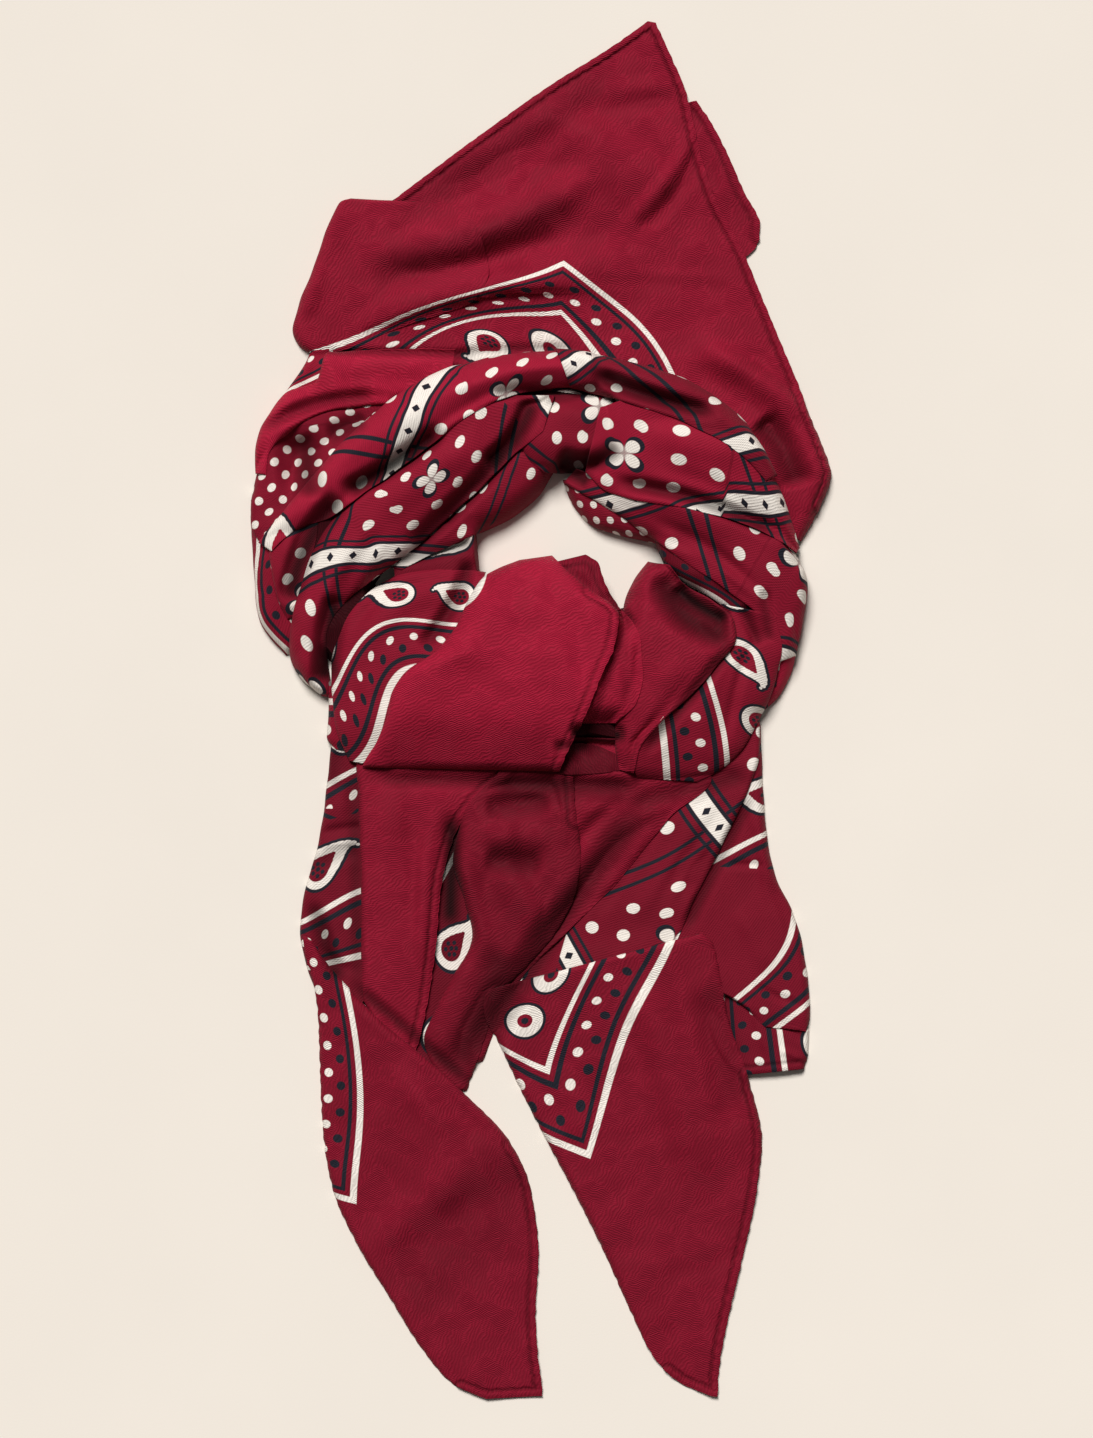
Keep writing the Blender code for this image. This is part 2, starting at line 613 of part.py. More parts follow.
        (-104, 18, 40, 22, 38, 48, 16, 0),
        (-112, 4, 32, 4, 36, 46, 12, 0),
        (-116, -12, 24, -12, 32, 42, 10, 0),
        (-119, -26, 17, -28, 26, 36, 8, 0),
        (-118, -37, 13, -41, 16, 24, 6, 0),
    ], []),
    Stretch("tail_left_strip", 10, 4, 0, 0, [
        (-139, -20, -106, -20, 7, 9, 4, 0),
        (-142, -50, -106, -50, 7, 9, 4, 0),
        (-148, -90, -106, -90, 7, 9, 5, 0),
        (-157, -122, -106, -122, 7, 8, 5, 0),
        (-160, -148, -106, -148, 7, 8, 5, 0),
        (-155, -172, -106, -172, 7, 7, 5, 0),
        (-148, -192, -112, -188, 6, 6, 4, 0),
        (-143, -206, -126, -200, 5, 5, 3, 0),
    ], []),
    Stretch("tail_left_under", 4, 3, 0, 0, [
        (-74, -88, -38, -92, 7, 7, 0, 0),
        (-80, -130, -32, -130, 7, 7, 0, 0),
        (-84, -160, -30, -150, 6, 6, 0, 0),
        (-86, -192, -56, -188, 5, 5, 0, 0),
    ], []),
    Stretch("tail_left_panel", 10, 6, 0, 0, [
        (-123, -28, -18, -36, 14, 16, 6, 0),
        (-121, -55, -36, -57, 14, 14, 6, 0),
        (-120, -85, -57, -84, 13, 12, 6, 0),
        (-119, -120, -66, -120, 12, 10, 6, 0),
        (-119, -155, -69, -155, 11, 9, 6, 0),
        (-118, -188, -74, -190, 10, 8, 6, 0),
        (-104, -212, -80, -218, 8, 7, 4, 0),
        (-92, -228, -84, -232, 6, 6, 2, 0),
    ], [
        (-100, -30, -92, -200, 4, 16, 3, 0.3),
        (-60, -40, -80, -190, -6, 12, 3, 0),
    ]),
    Stretch("tail_right_under", 6, 4, 0, 0, [
        (104, -160, 136, -176, 5, 5, 0, 0),
        (110, -196, 156, -200, 5, 5, 0, 5),
        (118, -222, 179, -214, 6, 6, 0, 5),
        (130, -239, 179, -228, 6, 6, 0, 4),
        (137, -243, 176, -239, 5, 5, 0, 4),
    ], []),
    Stretch("tail_right_back", 10, 6, 0, 6, [
        (108, -32, 146, -34, 10, 9, 0, 5),
        (104, -70, 149, -70, 9, 9, 0, 6),
        (98, -105, 157, -108, 9, 9, 0, 6),
        (94, -135, 169, -138, 9, 9, 0, 6),
        (98, -158, 176, -166, 9, 9, 0, 6),
        (114, -178, 180, -190, 9, 9, 4, 6),
        (131, -194, 180, -204, 9, 9, 5, 6),
        (150, -211, 177, -214, 7, 7, 5, 5),
    ], []),
    Stretch("tail_right_print", 10, 4, 0, 0, [
        (96, -34, 146, -32, 11, 11, 0, 4),
        (78, -62, 140, -52, 11, 11, 0, 4),
        (58, -90, 126, -80, 11, 11, 0, 4),
        (36, -116, 112, -108, 10, 11, 0, 4),
        (12, -140, 98, -134, 9, 10, 0, 4),
        (-4, -162, 82, -156, 8, 9, 0, 4),
        (-14, -184, 66, -176, 6, 7, 0, 4),
    ], []),
    Stretch("tail_right_panel", 10, 6, 0, 6, [
        (10, -36, 114, -45, 16, 14, 0, 6),
        (14, -68, 88, -70, 16, 14, 0, 8),
        (14, -94, 68, -94, 15, 14, 0, 8),
        (8, -118, 51, -115, 14, 13, 0, 8),
        (-4, -142, 28, -138, 12, 12, 0, 7),
        (-20, -166, 8, -158, 10, 11, 0, 6),
        (-38, -188, -12, -178, 9, 9, 0, 5),
        (-50, -214, -27, -206, 8, 8, 0, 5),
        (-50, -238, -38, -234, 6, 6, 0, 4),
    ], []),
    Stretch("tail_centre_panel", 13, 6, 0, 3, [
        (-30, -40, 22, -40, 18, 18, 0, 6),
        (-52, -72, 24, -68, 18, 20, 0, 9),
        (-58, -100, 27, -94, 17, 20, 5, 9),
        (-50, -128, 24, -120, 15, 18, 7, 9),
        (-45, -150, 12, -146, 14, 16, 8, 9),
        (-57, -176, -8, -170, 13, 14, 8, 9),
        (-69, -198, -28, -192, 11, 12, 7, 8),
        (-77, -220, -36, -216, 10, 10, 6, 7),
        (-70, -240, -44, -240, 7, 7, 4, 5),
        (-57, -254, -49, -254, 4, 4, 3, 3),
    ], [
        (-20, -52, 14, -150, -18, 16, 6, 0.2),
        (-44, -80, -30, -170, -10, 14, 5, 0),
    ]),
    Stretch("tail_right_end", 14, 6, 5, 0, [
        (-36, -188, 111, -149, 9, 11, 0, 6),
        (-38, -199, 117, -170, 8, 10, 5, 7),
        (-28, -221, 125, -204, 7, 9, 5, 7),
        (-12, -255, 139, -246, 6, 8, 5, 7),
        (6, -290, 148, -288, 6, 6, 5, 5),
        (22, -320, 144, -322, 6, 3, 5, 0),
        (42, -360, 135, -364, 6, 2, 5, 0),
        (60, -400, 126, -402, 5, 2, 4, 0),
        (75, -430, 120, -433, 3, 2, 0, 0),
        (93, -448, 118.5, -449, 2, 2, 0, 0),
        (114, -457, 118.5, -457.5, 2, 2, 0, 0),
    ], [
        (60, -170, 110, -330, 10, 26, 5, 0),
        (20, -230, 60, -360, -6, 18, 3, 0),
    ]),
    Stretch("tail_left_end", 14, 6, 5, 0, [
        (-149, -184, -127, -186, 7, 10, 5, 6),
        (-148, -206, -104, -208, 7, 12, 5, 9),
        (-147, -230, -78, -230, 6, 12, 5, 9),
        (-146, -258, -50, -256, 6, 11, 5, 9),
        (-144, -288, -20, -288, 6, 9, 5, 8),
        (-138, -320, -6, -320, 6, 4, 5, 2),
        (-122, -356, -1, -362, 6, 2, 5, 0),
        (-100, -392, -3, -400, 6, 2, 5, 0),
        (-80, -424, -1.5, -430, 5, 2, 5, 0),
        (-57, -450, 1, -448, 3, 2, 2, 0),
        (-36, -459, 1.5, -457, 2, 2, 0, 0),
    ], [
        (-110, -210, -60, -360, 14, 26, 4, 0),
        (-60, -280, -30, -420, 8, 22, 3, 0),
    ]),
]


def build():
    for obj in list(bpy.data.objects):
        bpy.data.objects.remove(obj, do_unlink=True)
    parts = bpy.data.collections.new("bandana")
    cutters = bpy.data.collections.new("cutters")
    bpy.context.scene.collection.children.link(parts)
    bpy.context.scene.collection.children.link(cutters)
    cutters.hide_render = True

    plum = cloth_material("hidden_cloth", PLUM)
    hidden = joined_lofts("hidden_layers", 0.0, 0.0, parts, cutters, plum)
    clearance = joined_lofts("cutter_hidden_layers", SEAM, CUTTER_DEPTH, cutters, cutters, None)
    bpy.context.view_layer.update()
    graph = bpy.context.evaluated_depsgraph_get()
    tree = BVHTree.FromObject(hidden.evaluated_get(graph), graph)

    def resting(x, y):
        """Height of the hidden layers, with the gap over them, or of the surface beside them."""
        return height_below(tree, x, y, SEAT, 0.0)

    solids = []
    for stretch in STRETCHES:
        outer = sheet(stretch, resting)
        outer[..., 2] = np.maximum(outer[..., 2], TOE)
        inner = inner_sheet(stretch, resting, outer)
        hollow = filled("hollow_" + stretch.name, inner, -CUTTER_DEPTH, cutters)
        cutter = filled("cutter_" + stretch.name, grown(outer, SEAM), -CUTTER_DEPTH, cutters)
        material = cloth_material(stretch.name + "_cloth", BURGUNDY)
        solid = filled(stretch.name, outer, 0.0, parts, material)
        boolean(solid, hollow, "DIFFERENCE")
        boolean(solid, clearance, "DIFFERENCE")
        bpy.context.view_layer.update()
        for lower in solids:
            if boxes_meet(lower, cutter):
                boolean(lower, cutter, "DIFFERENCE")
        solids.append(solid)
    bpy.context.view_layer.update()
    graph = bpy.context.evaluated_depsgraph_get()
    for solid in solids:
        keep_main_body(solid, graph)
    for helper in cutters.objects:
        helper.hide_render = True
        helper.display_type = "WIRE"


build()
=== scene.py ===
"""Looks of the folded and knotted bandana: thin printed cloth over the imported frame, light and camera.

Sizes in the tables are millimetres in the frame's own axes, seen from above: x to the right, y away from the
tails, z up from the surface. The print is placed by distances a and b from the two hems that meet in a corner.
"""

from collections import namedtuple

import bpy
import numpy as np
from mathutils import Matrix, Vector
from mathutils.bvhtree import BVHTree


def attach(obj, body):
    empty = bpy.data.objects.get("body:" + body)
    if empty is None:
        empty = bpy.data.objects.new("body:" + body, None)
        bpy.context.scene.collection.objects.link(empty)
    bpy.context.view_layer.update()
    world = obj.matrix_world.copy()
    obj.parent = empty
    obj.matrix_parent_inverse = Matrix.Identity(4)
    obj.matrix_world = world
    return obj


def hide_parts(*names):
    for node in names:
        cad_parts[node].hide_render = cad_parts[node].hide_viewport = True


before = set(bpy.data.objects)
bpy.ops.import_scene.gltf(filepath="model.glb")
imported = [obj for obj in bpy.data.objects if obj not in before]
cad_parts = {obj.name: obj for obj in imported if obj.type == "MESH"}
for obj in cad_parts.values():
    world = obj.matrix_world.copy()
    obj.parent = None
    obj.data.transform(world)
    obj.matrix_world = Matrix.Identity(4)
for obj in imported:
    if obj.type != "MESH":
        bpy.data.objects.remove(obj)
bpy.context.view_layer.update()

MM = 0.001
HIDDEN = "hidden_layers"
HIDDEN_STEP = 2  # cells between the places where the hidden layers' height is taken
CLOTH = 0.7  # thickness of the cloth
DRAPE = 1.1  # least height of one layer over another
CLEAR = 0.05  # least gap between the cloth and what it lies on
CELL = 1.68  # size of a cell of a stretch's grid
ACROSS_MORE = 1.15  # how much closer the cells lie across a stretch than along it
END_SHARE = 0.5  # how much closer the rows of a grid lie at its ends than at its middle
LEAST_CELLS = 12
MOST_ROWS = 300
MOST_COLUMNS = 150
LEAST_TURN = 0.05  # a narrower turn counts as none
LEAST_LEAN = 0.12  # share of its half width that a fold keeps on the side it leans away from
MOST_TURN = 0.55  # share of a stretch's width over which one of its sides may turn down
FOLD_STEPS = 24  # points along a fold's line
FOLD_ENDS = 3.0  # a fold fades over one part in this many of it at each end
VALLEY_ENDS = 6.0
BACK_RUN = (0.2585, -0.9660)  # which way the back point runs
MERGE = 30.0  # width over which a stretch sinks into the one below it, where the two are the same cloth
MERGE_STEP = 4  # points of that edge from one to the next that the distance is measured from

HEM_WIDTH = 4.4
HEM_RISE = 1.05
HEM_GROOVE = 0.9
# how much painted shade darkens the colour in the hem's sewn groove
HEM_GROOVE_PAINTED_SHADE = 0.4
HEM_PUCKER = 8.5  # length of one pucker of the rolled hem
PUCKER_SHIFT = 1.4  # how far the puckers drift from even steps, as an angle
PUCKER_DRIFT = 17.0  # how fast that drift changes along the hem
SMALL_PUCKER = 0.37  # length of the small puckers between them, as a share of the length of one
SMALL_SHARE = 0.5  # strength of the small puckers
PUCKER_WIDER, PUCKER_FULLER, PUCKER_DEEPER = 0.06, 0.10, 0.12  # what a pucker adds to the hem, bead and groove
HEM_OUTSIDE = -0.75  # how far round the bead its outer side goes: -1 would be down to nothing
GROOVE_AT = 0.9  # distance of the groove's middle from the bead
GROOVE_WIDTH = 1.1  # distance from its middle at which the groove has faded to about a third
DRAWN_REACH = 9.0  # how far in the puckers draw the cloth
DRAWN = 0.15  # how far they draw it up or down
HEM_WANDER = 0.32  # how far a hem's edge wanders to each side, in short waves
EDGE_WANDER = 0.35  # how far a turned edge wanders, in long waves
HEM_WAVES = (6.5, 9.0, 13.0)
EDGE_WAVES = (24.0, 41.0)
WAVE_SHARES = (0.5, 1.0)  # least and greatest share of its height that a wave of an edge has
WAVE_SCALE = 0.6  # scale of the sum of an edge's waves
SHIFTS = (0.0, 6.0)  # radians by which waves and puckers are shifted

RIPPLE = 0.35  # height of the faint unevenness of all the cloth
RIPPLES = 14  # waves that the unevenness is made of
RIPPLE_LENGTHS = (18.0, 60.0)
RIPPLE_BENDS = (0.5, 2.0)
FULL_RIPPLE = 30.0  # a wave is as much higher as it is longer than this

BURGUNDY = (0.292, 0.0074, 0.0300, 1.0)
DEEP_BURGUNDY = (0.212, 0.0050, 0.0195, 1.0)
CREAM = (0.84, 0.785, 0.725, 1.0)
NAVY = (0.013, 0.014, 0.022, 1.0)
FLOOR_CREAM = (0.838, 0.784, 0.716, 1.0)
SHEEN_TINT = (1.0, 0.62, 0.66, 1.0)
# painted shade: how dark the hidden layers' burgundy is painted, for the shade in the gaps where they show
HIDDEN_PAINTED_SHADE = 0.12

TWILL_SCALE = 0.29  # diagonal ribs about 1.5 mm apart
EMBOSS_SCALE = 0.2  # wandering ribs about 2.2 mm apart
PLAIN_EMBOSS, PRINTED_EMBOSS = 1.0, 0.35  # how much of the wandering ribs each cloth shows
PATCH_SCALE = 0.05  # how large the patches are in which the wandering ribs run one way
FUZZ_SHARE = 0.45  # height of the fuzz in the weave
RELIEF = 0.6  # height of the weave, as the bump has it
WOBBLE = 0.12  # how unevenly the print's edges run
PIN_REACH = 45.0  # how far a pin bends the print around it
PIN_EASE = 0.02  # how softly a pin holds

# Distances of the border's parts from the hem, as printed.
OUTER_CREAM = (130.0, 134.2)
OUTER_NAVY = (137.4, 140.0)
NAVY_DOTS_AT = 145.1
CREAM_DOTS_AT = 153.6
DOT_PITCH = 18.3
BORDER_DOT = 3.0
INNER_NAVY = (160.4, 163.8)
INNER_CREAM = (167.2, 170.8)
MOTIFS_AT = 196.0
MOTIF_PITCH = 52.0
MOTIF_ROOM = 24.0  # how far a paisley may reach to each side of its row
NEXT_ROUNDEL = 37.0  # the second roundel of one arm
ARM_SHIFT = 27.0  # how much later that arm's paisleys begin
FIELD_FROM = 226.0
FIELD_DOT = 4.0
FIELD_PITCH = 20.0
INK_EDGE = 0.4  # width over which one colour of the print turns into the next
# Columns: the centre and radius of each circle that the paisley's curved body, core and seeds are made of.
PAISLEY = [
    (-5.0, -0.5, 12.4), (-1.5, 1.4, 11.2), (2.6, 3.6, 9.0), (6.6, 6.0, 6.6), (10.3, 7.8, 4.6), (13.6, 8.6, 3.0),
    (16.6, 8.0, 1.9), (18.8, 6.0, 1.1),
]
PAISLEY_CORE = [(-5.2, -0.6, 7.4), (-2.4, 0.8, 6.2), (0.8, 2.4, 4.4), (3.6, 4.0, 2.7), (5.8, 5.2, 1.4)]
PAISLEY_SEEDS = [
    (-5.0, -0.4, 1.5), (-8.8, -1.2, 1.4), (-6.4, -4.4, 1.4), (-2.6, -3.4, 1.4), (-1.2, 0.8, 1.4), (-4.2, 3.0, 1.4),
    (-8.0, 2.4, 1.4),
]
PAISLEY_LINE = 2.0
ROUNDEL = (14.8, 12.8, 5.4, 2.6)  # outer radius of its navy ring, and of its cream, red and navy parts
DIAGONAL = 0.7071
RIBBON_PITCH = 113.14  # four field dots, measured on the diagonal
RIBBON_AT = 35.36
RIBBON = 5.2
PIPING = 2.1
RIBBON_CLEAR = 14.0
SIDE_LINE = (10.0, 11.9)
TWIN_LINE = (3.4, 6.0)
LOZENGE_PITCH = 15.0
LOZENGE = 2.4
LOZENGE_SLOPE = 0.8
ROSETTE = 15.0
ROSETTE_CLEAR = 19.0
PETAL_LINE = 3.4
PETAL_EASE = 3000.0
SMALL_PITCH = 12.0
SMALL_DOT = 2.9

FLOOR = 3.0
LENS = 135.0
SENSOR = 36.0
VIEW_X, VIEW_Y, VIEW_HEIGHT = 4.3, -6.0, 958.7  # middle and height of the picture on the floor
SUN_STRENGTH = 3.78
SUN_FROM = (-0.24, 0.85, 1.25)
SUN_SPREAD = 0.4  # radians across the light, which softens its shadows
SUN_COLOUR = (1.0, 0.975, 0.945)
SKY_COLOUR = (1.0, 0.975, 0.94, 1.0)
SKY_STRENGTH = 0.10
FLOOR_GRAIN = 0.3  # height of the floor's grain, as its bump has it

# Columns of a section: the stretch's left and right edge, the height of the cloth beside each edge, and the
# width over which it turns down to what it lies on. A turn of 0 is a hem, or an edge that another covers.
Section = namedtuple("Section", "left_x left_y right_x right_y left_top right_top left_turn right_turn")
# Columns of a fold: its start and end, how far its middle bows to the left of that line, half its width, its
# height, and its lean: at 1 all of its width lies to the right of the line, at -1 to the left.
Fold = namedtuple("Fold", "start_x start_y end_x end_y bow half_width height lean")
# Columns of a drop: a line as a fold's, half the width over which the cloth drops across it from its left side
# to its right, and about half of how far it drops.
Drop = namedtuple("Drop", "start_x start_y end_x end_y bow half_width height")
# Columns of a valley between folds: a line as a fold's, half its width, how far it lowers every stretch that it
# crosses, and how much painted shade darkens the colour of the cloth along its middle, where the folds close over it.
Valley = namedtuple("Valley", "start_x start_y end_x end_y bow half_width depth deepen")
# Columns of a hem: the side of the stretch it runs along, and the shares of that side where it starts and ends.
Hem = namedtuple("Hem", "side first last")
# Columns of a pin: a place seen from above, and that place's distances from the two hems that meet in the
# nearest corner of the flat square.
Pin = namedtuple("Pin", "x y a b")
# One area of print: its pins, whether it follows the place seen from above ("plan") or the middle between that
# and the unrolled cloth ("both"), and the shares of the stretch's length between which it shows.
Area = namedtuple("Area", "pins follows first last", defaults=("both", 0.0, 1.0))
# Columns of a stretch: its name, its cloth, how light its burgundy is painted (partly the side of the cloth that
# shows, partly painted light and shade for how the light falls on it), how much rounder than in the CAD its sides
# turn down, the widths over which its start and end turn down, what it rests on, its hems, sections, folds and
# areas of print, the side on which it merges into the cloth below, and its drops. The last folds of each are
# creases, placed as the photo shows them, or like the ones beside them where it shows none.
Stretch = namedtuple(
    "Stretch",
    "name cloth shade rounder start_turn end_turn on hems sections folds areas merges drops",
    defaults=("", ()),
)


def running(steps):
    """The length run at each point of a line, from the lengths of its steps."""
    return np.concatenate([[0.0], np.cumsum(steps)])


def smooth_rows(rows, shares):
    """The table's columns at the given shares of its length, on a curve that never swings past the rows."""
    table = np.array(rows, float)
    moves = np.diff(table[:, 0:4], axis=0)
    steps = np.maximum(np.hypot(moves[:, 0], moves[:, 1]), np.hypot(moves[:, 2], moves[:, 3]))
    stations = running(steps)
    rates = np.diff(table, axis=0) / steps[:, None]
    before, after = rates[:-1], rates[1:]
    shared = before * after > 0
    mean = 2 * before * after / np.where(shared, before + after, 1.0)
    slopes = np.vstack([rates[:1], np.where(shared, mean, 0.0), rates[-1:]])
    wanted = shares * stations[-1]
    row = np.clip(np.searchsorted(stations, wanted, side="right") - 1, 0, len(stations) - 2)
    gap = steps[row][:, None]
    t = (wanted - stations[row])[:, None] / gap
    smooth = (
        (2 * t**3 - 3 * t**2 + 1) * table[row]
        + (t**3 - 2 * t**2 + t) * gap * slopes[row]
        + (3 * t**2 - 2 * t**3) * table[row + 1]
        + (t**3 - t**2) * gap * slopes[row + 1]
    )
    return Section(*smooth.T), wanted


def turn(distance, width):
    """0 at an edge and 1 at width from it, on a quarter ellipse. A width of 0 gives 1 throughout."""
    inside = np.clip(distance / np.maximum(width, 1e-6), 0.0, 1.0)
    return np.where(width > LEAST_TURN, np.sqrt(1.0 - (1.0 - inside) ** 2), 1.0)


def beside_line(fold, x, y):
    """Distance of each x, y from a bowed line, the side it lies on (1 is left), and its share of the way along."""
    run_x, run_y = fold.end_x - fold.start_x, fold.end_y - fold.start_y
    side = np.array([-run_y, run_x]) / np.hypot(run_x, run_y)
    t = np.linspace(0.0, 1.0, FOLD_STEPS + 1)
    bow = fold.bow * 4 * t * (1 - t)
    line = np.stack([fold.start_x + run_x * t + side[0] * bow, fold.start_y + run_y * t + side[1] * bow], 1)
    best = np.full(x.shape, 1e9)
    left = np.zeros_like(x)
    along = np.zeros_like(x)
    for i in range(FOLD_STEPS):
        step = line[i + 1] - line[i]
        share = ((x - line[i, 0]) * step[0] + (y - line[i, 1]) * step[1]) / (step @ step)
        share = np.clip(share, 0.0, 1.0)
        off_x = x - line[i, 0] - share * step[0]
        off_y = y - line[i, 1] - share * step[1]
        away = np.hypot(off_x, off_y)
        nearer = away < best
        best = np.where(nearer, away, best)
        left = np.where(nearer, np.sign(step[0] * off_y - step[1] * off_x), left)
        along = np.where(nearer, (i + share) / FOLD_STEPS, along)
    return best, left, along


def fading(along, ends=FOLD_ENDS):
    """1 along the middle of a line, falling softly to 0 over one part in ends of it at each end."""
    return np.sin(np.clip(ends * np.minimum(along, 1.0 - along), 0.0, 1.0) * np.pi / 2) ** 2


def swell(away, reach):
    """1 on a line, falling softly to 0 at reach from it."""
    return np.cos(np.clip(away / reach, 0.0, 1.0) * np.pi / 2) ** 2


def fold_height(folds, x, y):
    """Height that the folds add at x, y: a rounded ridge along a bowed line."""
    total = np.zeros_like(x)
    for fold in (Fold(*row) for row in folds):
        away, left, along = beside_line(fold, x, y)
        reach = fold.half_width * np.maximum(1.0 - fold.lean * left, LEAST_LEAN)
        total += fold.height * swell(away, reach) * fading(along)
    return total


def drop_height(drops, x, y):
    """Height that the drops add at x, y: raised to the left of a bowed line and lowered to its right."""
    total = np.zeros_like(x)
    for drop in (Drop(*row) for row in drops):
        away, left, along = beside_line(drop, x, y)
        across = np.clip(away / drop.half_width, 0.0, 1.0)
        total += drop.height * left * np.sin(np.pi * across) * np.cos(np.pi * across / 2) * fading(along)
    return total


class Ground:
    """Height of all that has been laid so far, on a map of 1 mm cells seen from above.

    Beside it are maps of how far the valleys dip, and of the shade that they paint into the colour (1 where none).
    """

    LOW_X, LOW_Y, HIGH_X, HIGH_Y = -215, -485, 215, 485
    GROWN = range(-2, 3)  # cells by which the map is grown and smoothed
    ALONG, ACROSS = (0.0, 0.34, 0.67), (0.0, 0.5)  # shares of a grid's cell at which its height is noted

    def __init__(self):
        self.raw = np.zeros((self.HIGH_Y - self.LOW_Y + 1, self.HIGH_X - self.LOW_X + 1))
        self.soft = self.raw
        self.dip = np.zeros_like(self.raw)
        self.light = np.ones_like(self.raw)
        for valley in (Valley(*row) for row in VALLEYS):
            self.sink(valley)

    def sink(self, valley):
        """Adds a valley to the maps of how far the cloth dips and of the shade painted into its colour."""
        reach = valley.half_width + abs(valley.bow)
        spans = []
        for low, values in ((self.LOW_Y, (valley.start_y, valley.end_y)), (self.LOW_X, (valley.start_x, valley.end_x))):
            spans.append(slice(max(int(min(values) - reach - low), 0), int(max(values) + reach - low) + 2))
        rows, columns = np.mgrid[tuple(spans)]
        away, _, along = beside_line(valley, columns + float(self.LOW_X), rows + float(self.LOW_Y))
        share = swell(away, valley.half_width) * fading(along, VALLEY_ENDS)
        self.dip[rows, columns] -= valley.depth * share
        # Painted shade: the colour is darkened along the valley's middle.
        self.light[rows, columns] *= 1.0 - valley.deepen * share

    def lay(self, x, y, z):
        """Lays a grid of points on the map."""
        for i in self.ALONG:
            for j in self.ACROSS:
                points = []
                for values in (x, y, z):
                    near = values[:-1, :-1] * (1 - j) + values[:-1, 1:] * j
                    far = values[1:, :-1] * (1 - j) + values[1:, 1:] * j
                    points.append(near * (1 - i) + far * i)
                column = np.round(points[0]).astype(int) - self.LOW_X
                row = np.round(points[1]).astype(int) - self.LOW_Y
                np.maximum.at(self.raw, (row, column), points[2])
        self.settle()

    def settle(self):
        """The map grown and smoothed, which is what the next stretch rests on."""
        wide = self.raw
        for axis in (0, 1):
            wide = np.max([np.roll(wide, move, axis) for move in self.GROWN], axis=0)
        for _ in range(2):
            for axis in (0, 1):
                wide = np.mean([np.roll(wide, move, axis) for move in self.GROWN], axis=0)
        self.soft = wide

    def at(self, heights, x, y):
        """The value of one of the maps at each x, y."""
        column = np.clip(x - self.LOW_X, 0, heights.shape[1] - 1.001)
        row = np.clip(y - self.LOW_Y, 0, heights.shape[0] - 1.001)
        i, j = row.astype(int), column.astype(int)
        u, v = row - i, column - j
        low = heights[i, j] * (1 - v) + heights[i, j + 1] * v
        high = heights[i + 1, j] * (1 - v) + heights[i + 1, j + 1] * v
        return low * (1 - u) + high * u


def unevenness(x, y, seed):
    """A faint, soft unevenness, the same on each run."""
    chance = np.random.RandomState(seed)
    total = np.zeros_like(x)
    for _ in range(RIPPLES):
        length = chance.uniform(*RIPPLE_LENGTHS)
        heading = chance.uniform(0.0, np.pi)
        phase = chance.uniform(0.0, 2 * np.pi)
        run, across = x * np.cos(heading) + y * np.sin(heading), x * np.sin(heading) - y * np.cos(heading)
        bend = chance.uniform(*RIPPLE_BENDS) * np.sin(across / length + phase)
        total += length / FULL_RIPPLE * np.sin(2 * np.pi * run / length + bend + phase)
    return total * RIPPLE / np.sqrt(RIPPLES / 2)


def hem_line(hem, x, y):
    """The points of the grid's border along which the hem runs."""
    sides = {
        "left": (x[:, 0], y[:, 0]),
        "right": (x[:, -1], y[:, -1]),
        "start": (x[0], y[0]),
        "end": (x[-1], y[-1]),
    }
    line_x, line_y = sides[hem.side]
    first, last = (round(share * (len(line_x) - 1)) for share in (hem.first, hem.last))
    return line_x[first : last + 1], line_y[first : last + 1]


def hem_relief(hems, x, y, seed):
    """Height of the rolled hems, a puckered bead along the edge, and the shade painted into its colour in the sewn
    groove.
    """
    best = np.full(x.shape, 1e9)
    along = np.zeros_like(x)
    start = 0.0
    for hem in (Hem(*row) for row in hems):
        line_x, line_y = hem_line(hem, x, y)
        lengths = running(np.hypot(np.diff(line_x), np.diff(line_y)))
        for i in range(len(line_x) - 1):
            run = np.array([line_x[i + 1] - line_x[i], line_y[i + 1] - line_y[i]])
            size = max(run @ run, 1e-9)
            share = np.clip(((x - line_x[i]) * run[0] + (y - line_y[i]) * run[1]) / size, 0.0, 1.0)
            away = np.hypot(x - line_x[i] - share * run[0], y - line_y[i] - share * run[1])
            nearer = away < best
            best = np.where(nearer, away, best)
            along = np.where(nearer, start + lengths[i] + share * np.sqrt(size), along)
        start += lengths[-1]
    chance = np.random.RandomState(seed)
    shift = chance.uniform(*SHIFTS)
    pucker = np.sin(2 * np.pi * along / HEM_PUCKER + PUCKER_SHIFT * np.sin(along / PUCKER_DRIFT + shift))
    pucker += SMALL_SHARE * np.sin(2 * np.pi * along / (HEM_PUCKER * SMALL_PUCKER) + shift)
    width = HEM_WIDTH * (1.0 + PUCKER_WIDER * pucker)
    middle = (best - width / 2) / (width / 2)
    bead = np.sqrt(np.clip(1.0 - np.maximum(middle, HEM_OUTSIDE) ** 2, 0.0, 1.0)) * (1.0 + PUCKER_FULLER * pucker)
    groove = np.exp(-(((best - width - GROOVE_AT) / GROOVE_WIDTH) ** 2)) * (1.0 + PUCKER_DEEPER * pucker)
    drawn = np.exp(-best / DRAWN_REACH) * DRAWN * pucker * np.clip(best / width, 0.0, 1.0)
    # The second value is painted shade, darker in the sewn groove.
    return HEM_RISE * bead - HEM_GROOVE * groove + drawn, 1.0 - HEM_GROOVE_PAINTED_SHADE * np.clip(groove, 0.0, 1.0)


